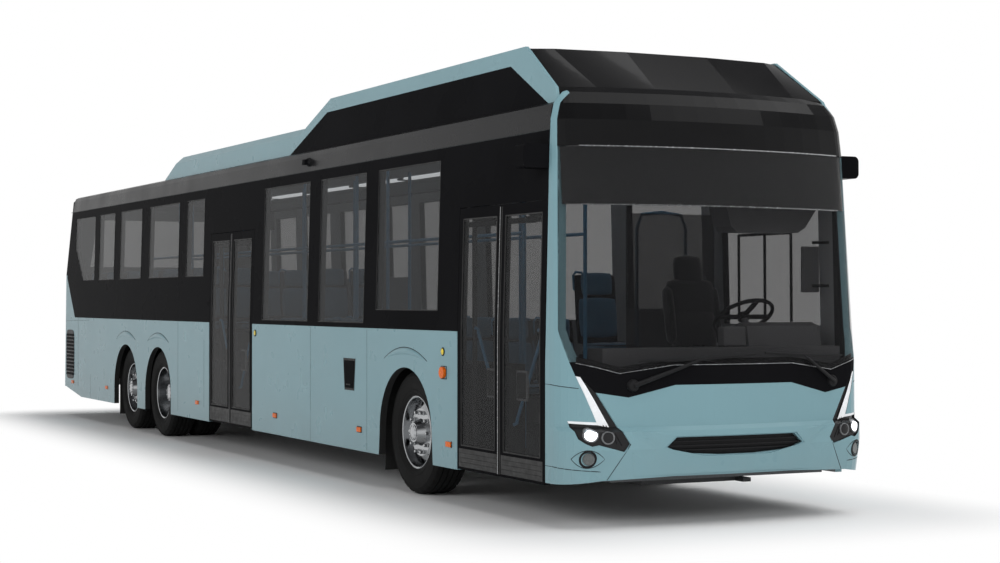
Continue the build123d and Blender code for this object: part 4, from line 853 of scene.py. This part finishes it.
mount.box((5.77, 0.48, seat_z - 0.135), (6.17, 0.92, seat_z - 0.105), 1, 0.010)
belt = [(5.62, 0.90, 0.62), (5.70, 0.885, 0.45), (5.77, 0.86, 0.1), (5.80, 0.83, 0.02)]
mount.tube([(x, y, seat_z + rise) for x, y, rise in belt], 0.014, 0, 6, 0.2)
driver = chair.piece("driver_cushions", [dark_cloth], slot="driver_fabric", sharp=60, weld=True)
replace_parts(driver, "driver_seat")
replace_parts(mount.piece("driver_mount", [seal, plastic], slot="driver_fabric"), "driver_seat")

# Cab fittings, sign box, screen border, ceiling lights and hoops
cab = Form()
locker = [(0.38, 2.10), (0.93, 2.10), (1.00, 2.14), (1.10, 2.28), (1.08, 2.33), (0.31, 2.33), (0.29, 2.28),
          (0.33, 2.14)]
cab.slab([(6.86, y, z) for y, z in locker], [(6.62, y, z) for y, z in locker], 0)
cab.box((6.63, 0.40, 2.12), (6.645, 0.90, 2.135), 2, 0.003)
cab.box((6.78, 1.01, 1.65), (6.815, 1.165, 2.00), 0, 0.008)
cab.box((6.772, 1.025, 1.67), (6.784, 1.15, 1.98), 1, 0.003)
for z in (1.70, 2.03):
    cab.tube([(6.81, 1.10, z), (6.86, 1.14, z), (6.90, 1.19, z)], 0.012, 2, 8)
BARS_X = (5.68, 6.05, 6.41)
for x in BARS_X:
    cab.tube([(x, 1.190, 1.42), (x, 1.188, 1.8), (x, 1.186, 2.12)], 0.012, 2, 10)
cab.tube([(x, 1.186, 2.12) for x in BARS_X], 0.012, 2, 10)
screen = [(6.795, 0.46, 1.262), (6.795, 0.95, 1.262), (6.812, 0.95, 1.375), (6.812, 0.46, 1.375)]
cab.slab([(x - 0.006, y, z) for x, y, z in screen], [(x + 0.01, y, z) for x, y, z in screen], 1)
for k in range(7):
    cab.box((6.83, 0.02 + 0.045 * k - 0.2, 1.250), (6.86, 0.045 + 0.045 * k - 0.2, 1.262), 2, 0.003)
for way in (-1, 1):
    stalk = [(6.66, 0.0, 1.16), (6.60, 0.10, 1.30), (6.57, 0.18, 1.335)]
    cab.tube([(x, DRIVER_Y + way * y, z) for x, y, z in stalk], 0.009, 2, 8)
cab.box((7.02, 0.10, 1.252), (7.12, 0.29, 1.40), 0, 0.012)
cab.box((7.012, 0.115, 1.27), (7.022, 0.275, 1.385), 1, 0.003)
cab.piece("cab_fittings", [trim, dim_glass, plastic], slot="cab_trim")

signs = Form()
across = [-1.215, -1.20, -1.18, -1.15, -1.11, *steps(-1.06, 1.06, 24), 1.11, 1.15, 1.18, 1.20, 1.215]
levels = steps(2.262, 2.668, 4)
signs.add([on_nose(y, z, -0.016) for z in levels for y in across], grid(len(across), len(levels)), 0)
for z, out, width in ((2.262, -0.014, 0.005), (2.672, 0.001, 0.004)):
    signs.tube([on_nose(y, z, out) for y in steps(-1.10, 1.10, 30)], width, 2, 6)
LOW_EDGE = [(-1.18, 1.156), (-1.06, 1.128), (-0.894, 1.084), (-0.5, 1.139), (0.5, 1.139), (0.894, 1.084), (1.06, 1.128),
            (1.18, 1.156)]
BORDER_H = 0.045
for a, b in zip(LOW_EDGE, LOW_EDGE[1:]):
    path = along(a, b, 6)
    for foot in zip(path, path[1:]):
        ring = [*foot, *[(y, z + BORDER_H) for y, z in reversed(foot)]]
        signs.add([on_nose(y, z, -0.0135) for y, z in ring], [(0, 1, 2, 3)], 1)
        signs.tube([on_nose(y, z, 0.001) for y, z in foot], 0.0025, 2, 6)
signs.piece("sign_and_border", [dim_glass, plastic, nut_steel], slot="black_plastic")

LIGHT_Y, LIGHT_L = 0.62, 1.28
lights = Form()
for side in (-1, 1):
    y = side * LIGHT_Y
    for x0 in (-6.8, -5.4, -4.0, -2.6, -1.2, 0.2, 1.6, 3.0, 4.4):
        at = hit(("roof",), (x0 + 0.6, y, 2.0), (0, 0, 1))
        if at:
            x1 = x0 + LIGHT_L
            lights.box((x0, y - 0.06, at.z - 0.022), (x1, y + 0.06, at.z - 0.001), 0, 0.006)
            for x in (x0, x1):
                lights.box((x - 0.02, y - 0.068, at.z - 0.026), (x + 0.02, y + 0.068, at.z - 0.001), 1, 0.006)
for y, bend in ((0.62, 0.05), (1.10, -0.05)):
    lights.tube([(5.0, y, 1.08), (5.0, y, 2.20), (5.0, y + bend, 2.31), (5.0, 0.86, 2.33)], 0.016, 2, 12)
lights.piece("ceiling_lights", [glow, pale_trim, rail], slot="rail_paint")

# Wipers: sprung arms, bridges and rubber blades
wipe = Form()
for pivot, knee, tip, heel in (((-0.80, 1.00), (-0.30, 1.175), (0.15, 1.205), (-0.76, 1.165)),
                               ((0.90, 1.00), (0.60, 1.19), (0.24, 1.215), (1.00, 1.185))):
    cap = [(0.044, -0.012), (0.044, 0.010), (0.036, 0.024), (0.018, 0.031), (0.001, 0.032)]
    wipe.turned(cap, (nose_x(*pivot), *pivot), (1, 0, 0), 0, 28)
    thick = [0.021 - 0.010 * t for t in steps(0, 1, 8)]
    wipe.tube([on_nose(y, z, 0.026) for y, z in along(pivot, knee, 8)], thick, 0, 10, 0.7)
    thin = [0.011 - 0.005 * t for t in steps(0, 1, 10)]
    for end in (tip, heel):
        blade = along(knee, end, 10)
        wipe.tube([on_nose(y, z, 0.020) for y, z in blade], thin, 0, 8)
        wipe.tube([on_nose(y, z - 0.003, 0.010) for y, z in blade], 0.006, 1, 6, 0.4)
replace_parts(wipe.piece("wiper_arms", [plastic, seal], slot="black_plastic"), "wipers")

# Camera eyes on the pods
eyes = Form()
for side in (-1, 1):
    rear = hit(("camera_pods",), (5.0, side * 1.375, 2.605), (1, 0, 0))
    for z in (0.035, -0.03):
        at = rear + Vector((0, 0, z))
        bezel = [(0.024, -0.004), (0.024, 0.006), (0.019, 0.008), (0.016, 0.004)]
        eyes.turned(bezel, at, (-1, 0, 0), 0, 28, caps=False)
        eyes.turned([(0.017, 0.0), (0.015, 0.005), (0.009, 0.008), (0.001, 0.009)], at, (-1, 0, 0), 1, 24)
eyes.piece("camera_eyes", [plastic, dim_glass], slot="black_plastic")

# Tail: louvres and handle on the hatch, lamp segments, borders and reflectors
SLAT = ((0.004, 0.012), (-0.006, 0.008), (-0.011, -0.010), (0.004, -0.013))
tail = Form()
for z in steps(0.66, 1.06, 12):
    tail.loop([[tail_at(y, z) + Vector((dx, 0, dz)) for dx, dz in SLAT] for y in steps(-0.62, 0.62, 8)], 0)
tail.framed(lambda y, z: tail_at(y, z, 0.001), outline(-0.66, 0.66, 0.625, 1.095), 0.008)
grip_at = tail_at(0.0, 1.20)
tail.box((grip_at.x - 0.012, -0.11, 1.165), (grip_at.x + 0.004, 0.11, 1.235), 0, 0.006)
tail.tube([grip_at + Vector((-0.012, y, 0.012)) for y in (-0.085, 0.0, 0.085)], 0.010, 1, 10)
tail.piece("hatch_fittings", [plastic, nut_steel], "rear_hatch", "black_plastic")

ends = Form()
window = [(-0.938, 2.042), (0.938, 2.042), (0.888, 2.708), (-0.888, 2.708)]
ends.framed(tail_at, window, 0.008, 0, 8, 8)
for z in (0.56, 1.90):
    for y0, y1 in ((-1.20, -0.79), (0.79, 1.20)):
        ends.tube([tail_at(y, z, SUNK) for y in steps(y0, y1, 4)], GAP_R, 1, 6)
for side in (-1, 1):
    for low, high, mat in ((0.775, 0.915, 5), (0.925, 1.105, 2), (1.115, 1.275, 4), (1.285, 1.485, 2)):
        at = tail_at(side * 1.06, (low + high) / 2)
        ends.box((at.x - 0.007, at.y - 0.042, low), (at.x + 0.004, at.y + 0.042, high), mat, 0.004)
    at = tail_at(side * 1.0, 0.49)
    ends.box((at.x - 0.012, at.y - 0.07, 0.47), (at.x + 0.004, at.y + 0.07, 0.51), 2, 0.004)
at = tail_at(0.0, 2.80)
ends.box((at.x - 0.010, -0.16, 2.785), (at.x + 0.01, 0.16, 2.815), 2, 0.004)
ends.piece("tail_fittings", [seal, gap_and_shade_dark, red, plastic, amber, lens], slot="black_plastic")

# Roof: panel joints over the packs, an escape hatch and ribs behind
top = Form()


def roof_line(x, half, count):
    return [at for at in (roof_top(x, y) for y in steps(-half, half, count)) if at]


for x in (-2.0, -1.2, -0.4, 0.4, 1.2, 2.6, 3.5, 4.4, 5.3):
    top.tube([at + Vector((0, 0, 0.0002)) for at in roof_line(x, 1.0, 40)], 0.004, 0, 6)
for x in (-7.0, -6.2, -4.2, -3.4):
    top.tube(roof_line(x, 0.95, 20), 0.010, 1, 8)
hatch = roof_top(-5.2, 0.0)
top.box((-5.60, -0.40, hatch.z - 0.01), (-4.80, 0.40, hatch.z + 0.045), 1, 0.02)
top.box((-5.55, -0.35, hatch.z + 0.04), (-4.85, 0.35, hatch.z + 0.075), 2, 0.025)
for y in (-0.2, 0.2):
    bow = ((-0.05, 0.07), (-0.05, 0.085), (0.05, 0.085), (0.05, 0.07))
    top.tube([(-4.86, y + dy, hatch.z + rise) for dy, rise in bow], 0.006, 1, 8)
for x in (2.2, 3.05, 3.95, 4.85, 5.7):
    for y in (-0.55, 0.55):
        at = roof_top(x, y)
        top.turned([(0.036, -0.004), (0.036, 0.003), (0.028, 0.006), (0.001, 0.007)], at, (0, 0, 1), 1, 20)
top.piece("roof_fittings", [gap_and_shade_dark, roof_skin, plastic], slot="roof_skin")

# Camera at the photograph's place
camera = bpy.data.objects.new("camera", bpy.data.cameras.new("camera"))
scene.collection.objects.link(camera)
camera.data.lens = 66.78
camera.data.sensor_width = 36.0
camera.data.clip_end = 200.0
camera.location = (18.4376, -7.3433, 1.5970)
yaw, pitch = radians(26.43), radians(0.55)
ahead = Vector((-cos(yaw) * cos(pitch), sin(yaw) * cos(pitch), sin(pitch)))
camera.rotation_mode = "QUATERNION"
camera.rotation_quaternion = ahead.to_track_quat("-Z", "Y")
scene.camera = camera

# Floor, world and lamps
REACH = 70.0
ground = bpy.data.meshes.new("floor_sheet")
ground.from_pydata([(x * REACH, y * REACH, 0) for x, y in CORNERS], [], [(0, 1, 2, 3)])
ground_sheet = bpy.data.objects.new("floor_sheet", ground)
scene.collection.objects.link(ground_sheet)
stage_mat, stage, stage_shader = blank("stage_floor")
feed(stage, stage_shader, {
    "Base Color": ramp(stage, noise(stage, 0.4, 2.0), (0.93, 0.93, 0.93), (0.95, 0.95, 0.95)),
    "Roughness": 0.9, "Specular IOR Level": 0.1,
})
ground.materials.append(stage_mat)


def seen_direct(tree):
    """1 for rays from the camera, mirrors and glass; 0 for the light that falls on the object."""
    path = put(tree, "LightPath", {})
    seen = path.outputs["Is Camera Ray"]
    for kind in ("Is Glossy Ray", "Is Transmission Ray"):
        seen = maths(tree, "MAXIMUM", seen, path.outputs[kind])
    return seen


# The floor turns plain white away from the bus, so no horizon shows
HALF_LENGTH = 7.35
FADE = (0.20, 1.50)
away = place_in(stage)
for operation, amount in (("ABSOLUTE", (0, 0, 0)), ("SUBTRACT", (HALF_LENGTH, HALF_W, 0)), ("MAXIMUM", (0, 0, 0))):
    away = put(stage, "VectorMath", {0: away, 1: amount}, operation=operation).outputs["Vector"]
away = put(stage, "VectorMath", {0: away}, operation="LENGTH").outputs["Value"]
fade = spread(stage, away, 0.0, 1.0, FADE, interpolation_type="SMOOTHSTEP")
both = put(stage, "MixShader", {
    "Fac": maths(stage, "MULTIPLY", fade, seen_direct(stage)),
    1: stage_shader.outputs["BSDF"], 2: put(stage, "Emission", {}).outputs["Emission"],
})
feed(stage, stage.nodes["Material Output"], {"Surface": both.outputs["Shader"]})

world = bpy.data.worlds.new("studio")
scene.world = world
world.use_nodes = True
sky = world.node_tree
aim = put(sky, "TexCoord", {}).outputs["Generated"]
height = put(sky, "SeparateXYZ", {"Vector": aim}).outputs["Z"]
feed(sky, sky.nodes["Background"], {
    "Strength": spread(sky, seen_direct(sky), 0.56, 1.0, (0.0, 1.0)),
    "Color": ramp(sky, height, (1.0, 1.0, 1.0), (0.10, 0.10, 0.105), (0.22, 0.62)),
})

scene.view_settings.view_transform = "Standard"


def lamp(name, kind, place, target, energy, **facts):
    data = bpy.data.lights.new(name, kind)
    data.energy = energy
    for key, value in facts.items():
        setattr(data, key, value)
    obj = bpy.data.objects.new(name, data)
    scene.collection.objects.link(obj)
    obj.location = place
    obj.rotation_mode = "QUATERNION"
    obj.rotation_quaternion = (Vector(target) - Vector(place)).to_track_quat("-Z", "Y")
    return obj


lamp("top_soft", "SUN", (3, 4, 12), (0.6, -0.4, 0), 1.8, angle=radians(65))
side_soft = lamp("side_soft", "AREA", (9, -16, 8), (1, -1, 1.4), 800.0, shape="RECTANGLE", size=14.0, size_y=6.0)
front_soft = lamp("front_soft", "AREA", (19, -2, 7), (6, 0, 1.5), 380.0, shape="RECTANGLE", size=8.0, size_y=4.0)
for soft in (side_soft, front_soft):
    soft.visible_glossy = False
